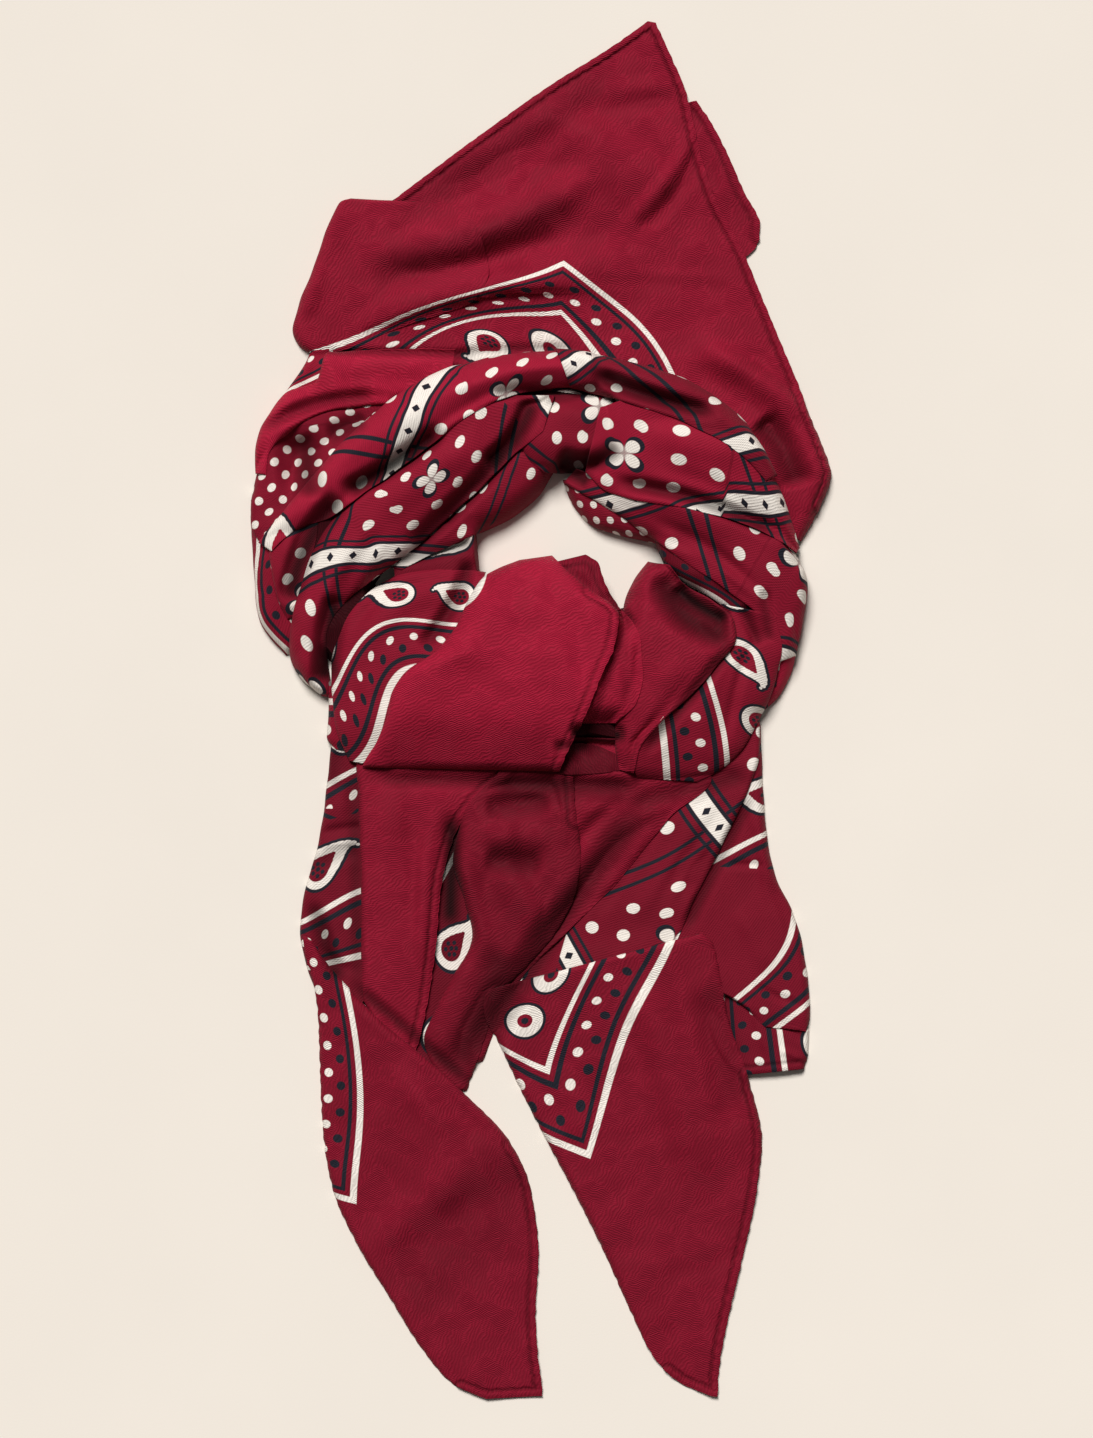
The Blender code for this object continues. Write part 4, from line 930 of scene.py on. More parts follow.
# The stretches that show, from the lowest to the highest. Each rests on those before it.
# The third column of each is how light its burgundy is painted: painted light and shade, partly the side of the cloth.
STRETCHES = [
    Stretch("back_point_under", "plain", 0.85, 1, 0, 0, [], [("right", 0, 0.8)], [
        (99, 405, 104, 406, 2, 2, 0, 0), (96, 392, 113, 393, 2, 2, 0, 0), (98, 368, 125, 370, 2, 2, 0, 0),
        (104, 343, 136, 345, 2, 2, 0, 0), (112, 326, 146.5, 324, 2, 2, 0, 0), (118, 312, 146, 314, 2, 2, 0, 0),
        (124, 305, 142, 306, 2, 2, 0, 0), (130, 301, 137, 302, 2, 2, 0, 0),
    ], [
        (112, 392, 128, 330, 2, 9, 2, 0), (104, 360, 120, 312, 0, 8, -1.5, 0),
    ], []),
    Stretch("back_point", "bordered", 0.92, 1, 0, 0, [], [("left", 0, 0.42), ("start", 0, 1), ("right", 0, 0.93)], [
        (72, 459, 77, 458, 2, 2, 0, 0), (48, 442, 87, 436, 2, 2, 0, 0), (8, 417, 97, 412, 2, 3, 0, 0),
        (-44, 380, 106, 374, 2, 4, 0, 0), (-92, 344, 116, 342, 2, 4, 0, 0), (-132, 312, 134, 308, 3, 3, 0, 0),
        (-140, 272, 149, 272, 4, 3, 0, 0), (-150, 240, 163, 238, 6, 4, 0, 0), (-110, 226, 173, 214, 8, 5, 0, 0),
        (20, 210, 181, 193, 12, 8, 0, 4), (92, 192, 189, 174, 16, 14, 0, 10), (128, 172, 194, 156, 20, 18, 0, 14),
        (145, 148, 188, 138, 18, 16, 0, 12), (158, 120, 174, 112, 10, 10, 0, 6),
    ], [
        (-20, 400, 100, 330, 10, 26, 8, 0.2), (-110, 300, 70, 360, -14, 30, 10, -0.3),
        (-120, 268, 90, 300, 6, 26, 8, 0.2), (-142, 244, 46, 279, 14, 12, 9, -0.7),
        (96, 246, 186, 178, 8, 16, 9, 0.2), (96, 246, 182, 190, 7, 12, 3, 0.2), (-120, 252, 30, 266, 10, 7, 2, 0.3),
    ], [
        (BACK_PINS, "plan"),
    ], "", [
        (-130, 296, 56, 366, -21, 25, 9), (-86, 340, 50, 422, -6, 20, 3), (52, 314, 110, 392, -8, 14, 5),
        (30, 402, 96, 410, 3, 16, 2), (20, 288, 140, 282, 2, 10, 0.8),
    ]),
    Stretch("back_shoulder_fold", "bordered", 0.92, 1, 7, 0, ["cloth_back_point"], [], [
        (-126, 341, -54, 337, 6, 3, 2, 0), (-132.5, 339, -50, 333, 7, 3, 4, 0), (-137, 333, -46, 327, 8, 3, 6, 0),
        (-142, 321, -41, 318, 9, 3, 7, 0), (-150, 298, -34, 292, 10, 3, 8, 0), (-160, 272, -44, 272, 10, 4, 8, 0),
        (-165, 254, -70, 262, 10, 6, 8, 0), (-161, 243, -100, 252, 10, 8, 8, 0), (-149, 236, -128, 240, 9, 9, 6, 0),
    ], [
        (-150, 300, -158, 258, 2, 10, 2, 0),
    ], [
        (BACK_PINS, "plan"),
    ], "right", [
        (-130, 296, 56, 366, -21, 25, 9),
    ]),
    Stretch("tail_left_strip", "printed", 0.6, 1, 0, 0, [HIDDEN], [], [
        (-137, -4, -106, -4, 7, 9, 4, 0), (-139, -20, -106, -20, 7, 9, 4, 0), (-142, -50, -106, -50, 7, 9, 4, 0),
        (-148, -90, -106, -90, 7, 9, 5, 0), (-157, -122, -106, -122, 7, 8, 5, 0),
        (-160, -148, -106, -148, 7, 8, 5, 0), (-155, -172, -106, -172, 7, 7, 5, 0),
        (-148, -192, -112, -188, 6, 6, 4, 0), (-143, -206, -126, -200, 5, 5, 3, 0),
    ], [
        (-152, -84, -108, -78, 2, 5, -2.5, 0), (-150, -92, -112, -88, 2, 4, 1.5, 0),
        (-150, -120, -132, -180, 4, 9, 2, 0), (-158, -150, -118, -176, -3, 6, -2, 0),
        (-134, -30, -136, -80, 2, 8, 1.5, 0),
    ], [
        ([(-130, -44, 169, 300), (-128, -58, 153.6, 292.8), (-140, -68, 153.6, 311.1), (-129, -67, 145.1, 301.95),
          (-132, -79, 138, 300)], "plan", 0, 0.335),
        ([(-144, -104, 196, 300), (-119, -115, 174, 317), (-140, -130, 169, 297), (-158, -143, 168, 274),
          (-132, -142, 153.6, 311.1), (-143, -150, 153.6, 292.8), (-134, -154, 145.1, 301.95), (-128, -167, 132, 312),
          (-144, -186, 110, 292)], "plan", 0.335, 1),
    ]),
    Stretch("tail_left_under", "printed", 0.5, 1, 0, 0, [HIDDEN], [], [
        (-76, -70, -34, -74, 5, 5, 0, 0), (-80, -130, -32, -130, 5, 5, 0, 0), (-84, -160, -30, -150, 5, 5, 0, 0),
        (-88, -192, -50, -188, 5, 5, 0, 0), (-92, -216, -46, -214, 5, 5, 0, 0), (-84, -236, -54, -238, 4, 4, 0, 0),
    ], [
        (-60, -96, -52, -150, 2, 8, -2, 0),
    ], [
        ([(-58, -153, 196, 352), (-62, -107, 169, 398), (-70, -186, 186, 322)], "plan"),
    ]),
    Stretch("tail_left_panel", "plain", 0.88, 1, 0, 0, ["cloth_tail_left_strip", HIDDEN], [("right", 0.12, 1)], [
        (-123, -14, -4, -20, 10, 10, 6, 0), (-122.5, -34, -20, -42, 13, 15, 6, 0),
        (-121, -55, -38, -56, 14, 15, 6, 0), (-120, -85, -57, -84, 13, 12, 6, 0),
        (-119, -120, -66, -120, 12, 10, 6, 0), (-119, -155, -69, -155, 11, 9, 6, 0),
        (-118, -188, -74, -190, 10, 8, 6, 0), (-110, -212, -80, -218, 8, 7, 4, 0),
        (-100, -230, -84, -232, 6, 6, 2, 0),
    ], [
        (-100, -30, -92, -200, 4, 16, 3, 0.3), (-60, -40, -80, -190, -6, 12, 3, 0),
        (-88, -40, -88, -180, -3, 14, -1.6, 0), (-72, -60, -78, -200, -3, 8, 1.6, 0),
    ], []),
    Stretch("tail_right_under", "printed", 0.62, 1, 0, 0, [HIDDEN], [("end", 0, 0.8)], [
        (104, -160, 136, -176, 5, 5, 0, 0), (110, -196, 156, -200, 5, 5, 0, 5), (118, -222, 179, -214, 6, 6, 0, 5),
        (130, -239, 179, -228, 6, 6, 0, 4), (137, -243, 176, -239, 5, 5, 0, 4),
    ], [
        (124, -176, 132, -236, -3, 6, -2.4, 0), (140, -186, 156, -236, -2, 6, 1.8, 0),
        (156, -208, 178, -222, 2, 5, -2.4, 0), (158, -226, 176, -234, 1, 4, 2, 0),
    ], [
        ([(119, -165, 132, 264), (121, -195, 132, 234), (135, -208, 145.1, 210.45), (136, -225, 145.1, 192.15),
          (143, -217, 153.6, 201.3), (146, -234, 153.6, 183), (160, -222, 168, 196), (163, -238, 169, 180)], "plan"),
    ]),
    Stretch("tail_right_back", "printed", 0.7, 1, 0, 6, ["cloth_tail_right_under", HIDDEN], [], [
        (108, -8, 147, -10, 10, 9, 0, 5), (106, -34, 148, -36, 10, 9, 0, 5), (100, -70, 150, -72, 9, 9, 0, 6),
        (92, -105, 156, -108, 9, 9, 0, 6), (82, -135, 169, -136, 9, 9, 0, 6), (84, -158, 176, -162, 9, 9, 0, 6),
        (104, -180, 179.5, -190, 9, 9, 4, 6), (131, -194, 180, -204, 9, 9, 5, 6), (150, -211, 177, -214, 7, 7, 5, 5),
    ], [
        (140, -60, 152, -130, 2, 7, 1.8, 0), (120, -104, 152, -104, 1, 4, -2.2, 0),
        (150, -112, 168, -160, 4, 6, -2, 0), (128, -130, 150, -180, 4, 10, 1.8, 0),
        (140, -180, 176, -196, -3, 5, -1.6, 0),
    ], [
        ([(150, -82, 169, 300), (115, -101, 169, 336), (146, -50, 205, 300)], "plan", 0, 0.42),
        ([(168, -124, 132, 290), (171.5, -140, 132, 305), (158, -164, 132, 333), (135.5, -187, 132, 366),
          (160, -187, 149, 347), (175, -165, 146, 325), (120, -130, 60, 330), (110, -110, 40, 330)], "plan", 0.42, 1),
    ]),
    Stretch("tail_right_print", "printed", 0.66, 1, 0, 0, ["cloth_tail_right_back", HIDDEN], [], [
        (104, -6, 146.5, -8, 11, 13, 0, 4), (96, -34, 145.5, -32, 9, 13, 0, 4), (78, -62, 139, -52, 7, 13, 0, 4),
        (58, -90, 126, -80, 6, 13, 0, 4), (36, -116, 112, -108, 5, 12, 0, 4), (12, -140, 99, -134, 5, 11, 0, 4),
        (-4, -162, 90, -156, 5, 9, 0, 4), (-14, -184, 74, -178, 5, 7, 0, 4),
    ], [
        (130, -44, 60, -150, -5, 9, 2, 0), (112, -40, 30, -150, -5, 8, -2, 0), (120, -78, 84, -134, -3, 6, 1.6, 0),
    ], [
        ([(100, -100, 280, 420), (84, -135, 280, 460), (120, -106, 300, 430)], "plan"),
    ]),
    Stretch("tail_right_panel", "plain", 0.84, 1.4, 0, 6, ["cloth_tail_right_print", HIDDEN], [], [
        (12, -18, 112, -22, 12, 12, 0, 4), (10, -38, 114, -45, 18, 13, 0, 6), (14, -68, 88, -70, 21, 10, 0, 8),
        (14, -94, 68, -94, 20, 9, 0, 8), (8, -118, 51, -115, 18, 8, 0, 8), (-4, -142, 28, -138, 14, 8, 0, 7),
        (-20, -166, 8, -158, 10, 11, 0, 6), (-38, -188, -12, -178, 9, 9, 0, 5), (-50, -214, -27, -206, 8, 8, 0, 5),
        (-50, -238, -38, -234, 6, 6, 0, 4),
    ], [
        (98, -52, 0, -150, -12, 9, 3.2, 0), (72, -50, -4, -132, -9, 9, -4, 0),
    ], []),
    Stretch("tail_centre_panel", "plain", 0.66, 1.5, 0, 3, ["cloth_tail_right_panel", "cloth_tail_left_panel"],
            [("right", 0, 0.3)], [
        (-14, -20, 20, -20, 10, 10, 0, 5), (-28, -42, 22, -42, 15, 16, 0, 6), (-47, -62, 23, -60, 18, 19, 3, 8),
        (-53, -76, 24, -72, 18, 20, 6, 9), (-58, -100, 27, -94, 17, 20, 5, 9), (-50, -128, 24, -120, 15, 18, 7, 9),
        (-45, -150, 12, -146, 14, 16, 8, 9), (-57, -176, -8, -170, 13, 14, 8, 9),
        (-69, -198, -28, -192, 11, 12, 7, 8), (-77, -220, -36, -216, 10, 10, 6, 7),
        (-70, -240, -44, -240, 7, 7, 4, 5), (-57, -254, -49, -254, 4, 4, 3, 3),
    ], [
        (-20, -52, 14, -150, -18, 16, 6, 0.2), (-44, -80, -30, -170, -10, 14, 5, 0),
        (-36, -66, 12, -62, 2, 12, -5, 0), (-40, -100, 8, -104, 3, 15, -5, 0), (-50, -84, 14, -88, 4, 10, 2, 0),
        (-22, -176, -56, -236, -4, 9, -3, 0),
    ], []),
    Stretch("tail_right_end", "bordered", 0.76, 1, 5, 0, ["cloth_tail_right_back"],
            [("right", 0.33, 1), ("end", 0, 1), ("left", 0.86, 1)], [
        (-34, -186, 108, -148, 9, 13, 2, 5), (-37.5, -193, 115, -155, 9, 13, 4, 7),
        (-37, -203, 119, -172, 8, 12, 5, 8), (-28, -221, 125, -204, 7, 9, 5, 7), (-12, -255, 139, -246, 6, 8, 5, 7),
        (6, -290, 148, -288, 6, 6, 5, 5), (22, -320, 144, -322, 6, 3, 5, 0), (42, -360, 135, -364, 6, 2, 5, 0),
        (60, -400, 126, -402, 5, 2, 4, 0), (75, -430, 120, -433, 3, 2, 0, 0), (93, -448, 118.5, -449, 2, 2, 0, 0),
        (114, -457, 118.5, -457.5, 2, 2, 0, 0),
    ], [
        (60, -170, 110, -330, 10, 26, 5, 0), (20, -230, 60, -360, -6, 18, 3, 0), (104, -180, 130, -290, 4, 16, -3, 0),
        (60, -170, 90, -300, 6, 18, 2.4, 0), (-10, -240, 64, -390, -6, 14, 1.6, 0),
    ], [
        ([(32, -296, 132, 132), (75, -180, 256, 132), (88, -152, 286, 132), (0, -282, 132, 167), (4, -242, 169, 169),
          (20, -195, 219, 169), (37, -166, 252, 169), (-28, -222, 169, 204), (46, -175, 237.9, 153.6),
          (26, -225, 183, 153.6), (58, -170, 247.05, 145.1), (44, -203, 210.45, 145.1), (-9, -207, 196, 196),
          (9, -174, 233, 196), (-34, -198, 196, 223), (118, -457, 0, 0), (148, -290, 170, 0), (75, -432, 0, 52),
          (100, -300, 150, 58)], "plan"),
    ]),
    Stretch("tail_left_end", "bordered", 0.76, 1, 5, 0, ["cloth_tail_left_strip"],
            [("right", 0.48, 1), ("end", 0, 1), ("left", 0.93, 1)], [
        (-158, -150, -153, -152, 7, 8, 2, 2), (-156, -164, -143, -167, 8, 11, 4, 5),
        (-151, -180, -128, -184, 8, 12, 5, 8), (-148, -204, -107, -206, 7, 13, 5, 10),
        (-147, -230, -78, -230, 6, 13, 5, 10), (-146, -258, -50, -256, 6, 11, 5, 9),
        (-144, -288, -20, -288, 6, 9, 5, 8), (-138, -320, -6, -320, 6, 4, 5, 2), (-122, -356, -1, -362, 6, 2, 5, 0),
        (-100, -392, -3, -400, 6, 2, 5, 0), (-80, -424, -1.5, -430, 5, 2, 5, 0), (-57, -450, 1, -448, 3, 2, 2, 0),
        (-36, -459, 1.5, -457, 2, 2, 0, 0),
    ], [
        (-110, -210, -60, -360, 14, 26, 4, 0), (-60, -280, -30, -420, 8, 22, 3, 0),
        (-108, -218, -30, -292, 4, 16, -3, 0), (-60, -300, -20, -430, 6, 18, -2, 0),
    ], [
        ([(-124, -328, 132, 132), (-122, -300, 132, 160), (-119, -262, 132, 198), (-123, -216, 132, 244),
          (-127, -192, 132, 268), (-131, -176, 132, 284), (-139, -320, 146, 132), (-138, -304, 145.1, 155.55),
          (-135, -233, 145.1, 228.75), (-142, -275, 153.6, 183), (-140, -223, 153.6, 237.9), (0, -456, 0, 0),
          (-2, -400, 0, 56), (-7, -310, 0, 146), (-46, -456, 46, 0), (-60, -320, 60, 134)], "plan"),
    ], "", [
        (-112, -374, -16, -298, 4, 30, 3),
    ]),
    Stretch("knot_left_strip", "printed", 0.6, 1, 0, 4, [HIDDEN], [], [
        (-98, 108, -96, 84, 18, 18, 0, 0), (-82, 116, -80, 84, 20, 20, 0, 0), (-64, 124, -64, 82, 22, 22, 0, 0),
        (-52, 124, -50, 80, 22, 22, 0, 0), (-43, 122, -39, 80, 21, 21, 0, 0),
    ], [], [
        ([(-60, 106, 206, 300), (-84, 100, 206, 324), (-60, 96, 216, 300)],),
    ]),
    Stretch("wrap_left_corner", "printed", 1, 1, 0, 0, [HIDDEN], [], [
        (-152, 239, -138, 240, 9, 12, 4, 0), (-161, 224, -136, 226, 10, 14, 4, 0),
        (-170, 211, -146, 212, 9, 14, 4, 0),
    ], [
        (-152, 236, -164, 216, 2, 6, 2, 0),
    ], [
        ([(-143, 225, 132, 300), (-165, 214, 132, 326), (-150, 231, 149, 311), (-145, 238, 155, 300)],),
    ]),
    Stretch("wrap_left_outer", "printed", 0.88, 1, 3, 6, [HIDDEN], [], [
        (-192.5, 140, -178, 136, 10, 14, 5, 0), (-192.5, 122, -172, 118, 15, 17, 8, 0),
        (-191, 98, -168, 98, 17, 17, 9, 0), (-190, 78, -166, 80, 17, 16, 9, 4), (-187, 60, -164, 66, 15, 15, 9, 6),
        (-180, 48, -161, 54, 12, 13, 8, 6), (-169, 36, -158, 44, 8, 8, 5, 5),
    ], [
        (-186, 124, -182, 60, -3, 6, -3, 0), (-178, 130, -172, 54, -2, 5, 2.5, 0),
        (-188, 100, -178, 50, -3, 4, 1.6, 0),
    ], [
        ([(-189, 75, 132, 300), (-170, 42, 132, 338), (-186, 113, 132, 262), (-176, 80, 150, 305),
          (-172, 110, 156, 270)],),
    ]),
    Stretch("wrap_left_pocket", "dotted", 0.78, 1, 0, 0, [HIDDEN], [], [
        (-150, 206, -100, 205, 18, 22, 0, 0), (-174, 188, -108, 192, 18, 20, 0, 0),
        (-186, 166, -124, 172, 14, 14, 5, 0), (-190, 152, -138, 154, 15, 13, 6, 0),
        (-192.5, 138, -150, 138, 16, 15, 6, 0), (-192, 122, -168, 124, 16, 20, 6, 0),
        (-184, 108, -174, 112, 14, 16, 4, 0),
    ], [
        (-168, 196, -160, 140, 0, 14, -7, 0), (-178, 178, -170, 132, -3, 9, 2, 0),
    ], [
        ([(-138, 192, 0, 0), (-148, 186, 12, 0), (-159, 181, 24, 0), (-169, 173, 36, 0), (-177, 164, 48, 0),
          (-184, 155, 60, 0), (-144, 178, 12, 12), (-153, 172, 24, 12), (-169, 157, 48, 12)],),
    ]),
    Stretch("wrap_left_plain", "plain", 1.32, 1, 0, 4, [HIDDEN], [], [
        (-56, 239, -62, 204, 22, 26, 0, 0), (-104, 239, -106, 202, 24, 28, 0, 12),
        (-141, 238, -130, 200, 24, 28, 5, 13), (-149, 218, -144, 197, 22, 26, 6, 10),
        (-168, 212, -155, 192, 21, 24, 9, 10), (-180, 198, -167, 184, 20, 22, 9, 8),
        (-187, 186, -176, 176, 18, 18, 7, 5), (-190, 172, -181, 167, 15, 14, 4, 3),
        (-189, 157, -182, 156, 8, 8, 3, 3),
    ], [
        (-60, 226, -150, 224, -4, 12, 3, 0),
    ], []),
    Stretch("wrap_left_roll", "printed", 0.88, 1.3, 0, 5, [HIDDEN], [], [
        (-178, 124, -146, 134, 20, 24, 0, 10), (-180, 108, -148, 116, 26, 26, 12, 12),
        (-178, 92, -152, 98, 27, 27, 12, 12), (-174, 74, -156, 80, 25, 25, 9, 9), (-168, 60, -159, 62, 16, 16, 4, 4),
    ], [
        (-164, 118, -166, 76, -2, 8, 2, 0),
    ], [
        ([(-158, 105, 260, 300), (-168, 87, 280, 300), (-150, 120, 240, 300)],),
    ]),
    Stretch("wrap_left_inner", "printed", 0.8, 1.4, 0, 5, [HIDDEN], [], [
        (0, 184, 9, 158, 26, 22, 0, 9), (-20, 172, -2, 141, 28, 22, 0, 10), (-40, 152, -22, 126, 28, 22, 0, 10),
        (-62, 132, -48, 114, 27, 21, 0, 10), (-86, 114, -72, 103, 25, 19, 0, 8), (-104, 96, -92, 93, 20, 14, 0, 5),
    ], [
        (-20, 162, -76, 112, -4, 9, -3, 0),
    ], [
        ([(-36, 131, 240, 300), (-52, 118, 240, 320), (-46, 138, 260, 314), (-6, 156, 240, 260)],),
    ]),
    Stretch("wrap_bulge", "printed", 0.8, 1.3, 4, 6, [HIDDEN], [], [
        (-6, 209, 46, 209, 26, 26, 10, 10), (-14, 194, 52, 196, 34, 32, 18, 14), (-14, 180, 50, 180, 36, 34, 20, 16),
        (-8, 167, 42, 167, 32, 32, 18, 14), (3, 157, 30, 158, 20, 20, 10, 10),
    ], [
        (4, 196, 40, 186, 5, 14, 3, 0),
    ], [
        ([(10, 180, 260, 300), (29, 182, 280, 300), (30, 201, 280, 320), (8, 200, 260, 320), (12, 162, 260, 280),
          (-3, 176, 240, 300), (45, 177, 300, 300)],),
    ]),
    Stretch("wrap_left_second", "printed", 0.95, 1.4, 9, 6, ["cloth_wrap_left_inner", HIDDEN], [], [
        (10, 208, 2, 184, 30, 28, 0, 8), (-18, 208, -18, 168, 38, 34, 0, 14), (-46, 196, -38, 148, 42, 38, 0, 18),
        (-76, 174, -60, 128, 42, 38, 0, 18), (-106, 152, -82, 108, 40, 36, 0, 18),
        (-132, 132, -106, 90, 36, 34, 8, 16), (-148, 110, -124, 76, 33, 31, 12, 14),
        (-158, 84, -137, 62, 30, 28, 12, 12), (-165, 58, -142, 46, 27, 25, 12, 11),
        (-167, 38, -141, 30, 24, 22, 12, 11), (-160, 22, -139, 16, 18, 18, 9, 9), (-145, 9, -137, 8, 9, 9, 4, 4),
    ], [
        (-24, 184, -120, 118, -5, 15, 3.5, 0), (-110, 118, -152, 40, -8, 12, 3, 0),
        (-96, 122, -138, 66, -6, 9, -2.4, 0),
    ], [
        ([(-43, 167, 260, 300), (-54, 151, 280, 300), (-68, 135, 300, 300), (-84, 122, 320, 300),
          (-28, 183, 240, 300), (-66, 160, 280, 320), (-79, 145, 300, 320), (-96, 134, 320, 320),
          (-87, 152, 300, 340), (-104, 142, 320, 340), (-130, 108, 360, 320), (-145, 92, 380, 320),
          (-154, 44, 420, 320)],),
    ]),
    Stretch("wrap_left_main", "printed", 1.2, 1.4, 6, 0, ["cloth_wrap_left_second", "cloth_wrap_left_pocket"], [], [
        (-187, 111, -178, 105, 20, 20, 4, 4), (-171, 131, -162, 119, 30, 30, 7, 7),
        (-153, 152, -138, 128, 38, 38, 14, 14), (-134, 174, -112, 146, 44, 44, 18, 18),
        (-112, 195, -88, 163, 48, 48, 20, 20), (-88, 213, -64, 181, 49, 49, 20, 20),
        (-60, 227, -42, 197, 47, 47, 18, 18), (-26, 236, -16, 208, 44, 44, 16, 16), (6, 239, 10, 213, 41, 41, 14, 14),
        (34, 237, 32, 214, 37, 37, 12, 10),
    ], [
        (-160, 138, -84, 200, 6, 14, 3, 0), (-110, 190, -20, 228, 6, 8, -2.4, 0), (-60, 206, 16, 226, 5, 10, 2, 0),
    ], [
        ([(-144, 152, 240, 420), (-127, 168, 260, 420), (-110, 181, 280, 420), (-65, 185, 320, 400),
          (-32, 222, 360, 420), (-10, 229, 380, 420), (3, 217, 400, 400)],),
    ]),
    Stretch("wrap_right_under", "dotted", 0.8, 1, 3, 3, [HIDDEN], [], [
        (26, 156, 15, 153, 16, 12, 0, 5), (40, 144, 22, 136, 18, 12, 0, 7), (56, 132, 38, 121, 18, 12, 0, 7),
        (72, 124, 58, 115, 18, 12, 0, 6), (90, 116, 82, 110, 16, 12, 0, 4),
    ], [
        (30, 142, 78, 116, -3, 8, 2, 0),
    ], [
        ([(43, 118, 0, 0), (51, 117, 12, 0), (60, 117, 24, 0), (68, 118, 36, 0), (55, 128, 24, 14)],),
    ]),
    Stretch("wrap_right_end", "printed", 1.36, 1, 0, 8, [HIDDEN], [], [
        (150, 90, 176, 92, 24, 22, 0, 8), (148, 68, 175, 70, 24, 20, 0, 10), (146, 48, 172, 46, 22, 18, 0, 10),
        (144, 30, 168, 26, 18, 14, 0, 10), (142, 14, 159, 9, 13, 11, 0, 8), (142, 2, 150, 0, 8, 8, 0, 4),
    ], [
        (160, 86, 160, 30, 3, 6, 2.6, 0), (168, 80, 166, 30, 2, 4, -2.2, 0), (152, 60, 152, 14, 2, 5, -2.2, 0),
    ], [
        ([(160, 80, 282, 300), (156, 30, 282, 350), (146, 50, 268, 330)],),
    ]),
    Stretch("wrap_right_inner", "printed", 0.5, 1.4, 4, 8, [HIDDEN], [], [
        (76, 112, 84, 94, 20, 18, 0, 4), (98, 104, 96, 82, 26, 24, 0, 8), (120, 96, 114, 73, 28, 26, 0, 10),
        (142, 84, 130, 60, 28, 26, 0, 10), (156, 66, 141, 45, 26, 24, 4, 8), (160, 42, 147, 29, 22, 20, 6, 6),
        (157, 16, 150, 12, 10, 10, 3, 3),
    ], [
        (100, 98, 150, 56, 6, 8, 3, 0),
    ], [
        ([(92, 88, 132, 300), (108, 79, 132, 318), (125, 70, 132, 340), (118, 88, 152, 330), (146, 30, 140, 390),
          (100, 98, 154, 305)], "plan"),
    ]),
    Stretch("wrap_right_lower", "printed", 0.88, 1.4, 4, 8, ["cloth_wrap_right_inner", HIDDEN], [], [
        (24, 160, 15, 151, 16, 16, 0, 4), (46, 152, 38, 138, 26, 22, 0, 9), (72, 145, 64, 121, 32, 26, 0, 13),
        (100, 139, 86, 105, 36, 28, 0, 15), (128, 130, 108, 90, 38, 30, 0, 16), (152, 118, 128, 76, 36, 30, 0, 16),
        (172, 101, 146, 62, 30, 28, 8, 14), (178, 82, 157, 50, 24, 24, 11, 12), (175, 58, 158, 43, 18, 18, 8, 8),
        (170, 36, 159, 32, 9, 9, 4, 4),
    ], [
        (40, 148, 140, 104, 8, 12, 3, 0), (70, 126, 146, 74, 8, 7, -4, 0), (112, 96, 156, 56, 5, 6, 2.2, 0),
    ], [
        ([(75, 136, 360, 460), (96, 127, 380, 460), (87, 110, 380, 440), (106, 102, 400, 440), (142, 121, 420, 480),
          (162, 108, 440, 480), (166, 60, 460, 440)],),
    ]),
    Stretch("wrap_right_front", "printed", 1.12, 1.4, 0, 5, ["cloth_wrap_right_lower", "cloth_wrap_bulge"], [], [
        (40, 200, 30, 158, 28, 22, 0, 7), (58, 205, 45, 144, 40, 30, 0, 12), (80, 202, 66, 138, 46, 36, 0, 15),
        (104, 196, 92, 134, 48, 40, 0, 17), (128, 184, 118, 128, 47, 40, 0, 17), (148, 168, 142, 120, 42, 36, 8, 16),
        (161, 142, 158, 112, 34, 30, 12, 12), (173, 108, 170, 104, 14, 14, 3, 3),
    ], [
        (56, 176, 140, 160, 8, 16, 3.4, 0), (60, 190, 130, 180, 5, 9, -2, 0), (66, 158, 146, 130, 7, 9, -2.4, 0),
    ], [
        ([(88, 147, 480, 300), (110, 139, 500, 300), (133, 130, 520, 300), (118, 155, 500, 320), (139, 143, 520, 320),
          (66, 187, 460, 340), (56, 168, 450, 318)],),
    ]),
    Stretch("wrap_right_top", "printed", 0.74, 1.4, 8, 5, ["cloth_wrap_right_front", "cloth_back_point"], [], [
        (10, 240, 20, 213, 36, 34, 8, 8), (35, 237, 40, 208, 43, 42, 13, 14), (62, 231, 62, 201, 48, 46, 14, 15),
        (92, 222, 86, 193, 50, 48, 15, 14), (120, 206, 106, 184, 50, 49, 15, 11), (138, 189, 124, 174, 47, 48, 13, 8),
        (148, 173, 138, 163, 44, 45, 9, 5), (157, 155, 149, 151, 38, 38, 3, 3),
    ], [
        (22, 230, 130, 200, 8, 10, 3, 0), (70, 224, 146, 176, 6, 7, -2, 0),
    ], [
        ([(14, 232, 260, 380), (52, 225, 300, 380), (73, 226, 320, 380), (50, 214, 300, 360), (72, 209, 320, 360),
          (93, 207, 340, 360), (116, 204, 360, 360), (107, 187, 360, 340)],),
    ]),
    Stretch("knot_left_edge", "printed", 0.88, 1, 0, 4, [HIDDEN], [], [
        (-140, 16, -126, 16, 10, 14, 4, 0), (-141, 0, -126, 0, 10, 14, 4, 0), (-142, -18, -126, -18, 9, 12, 4, 0),
        (-136, -26, -126, -28, 7, 9, 4, 0),
    ], [
        (-136, 12, -136, -20, 1, 4, 1.5, 0),
    ], [
        ([(-134, 6, 169, 300), (-134, -20, 148, 300), (-134, 16, 178, 300), (-128, 6, 169, 306)], "plan"),
    ]),
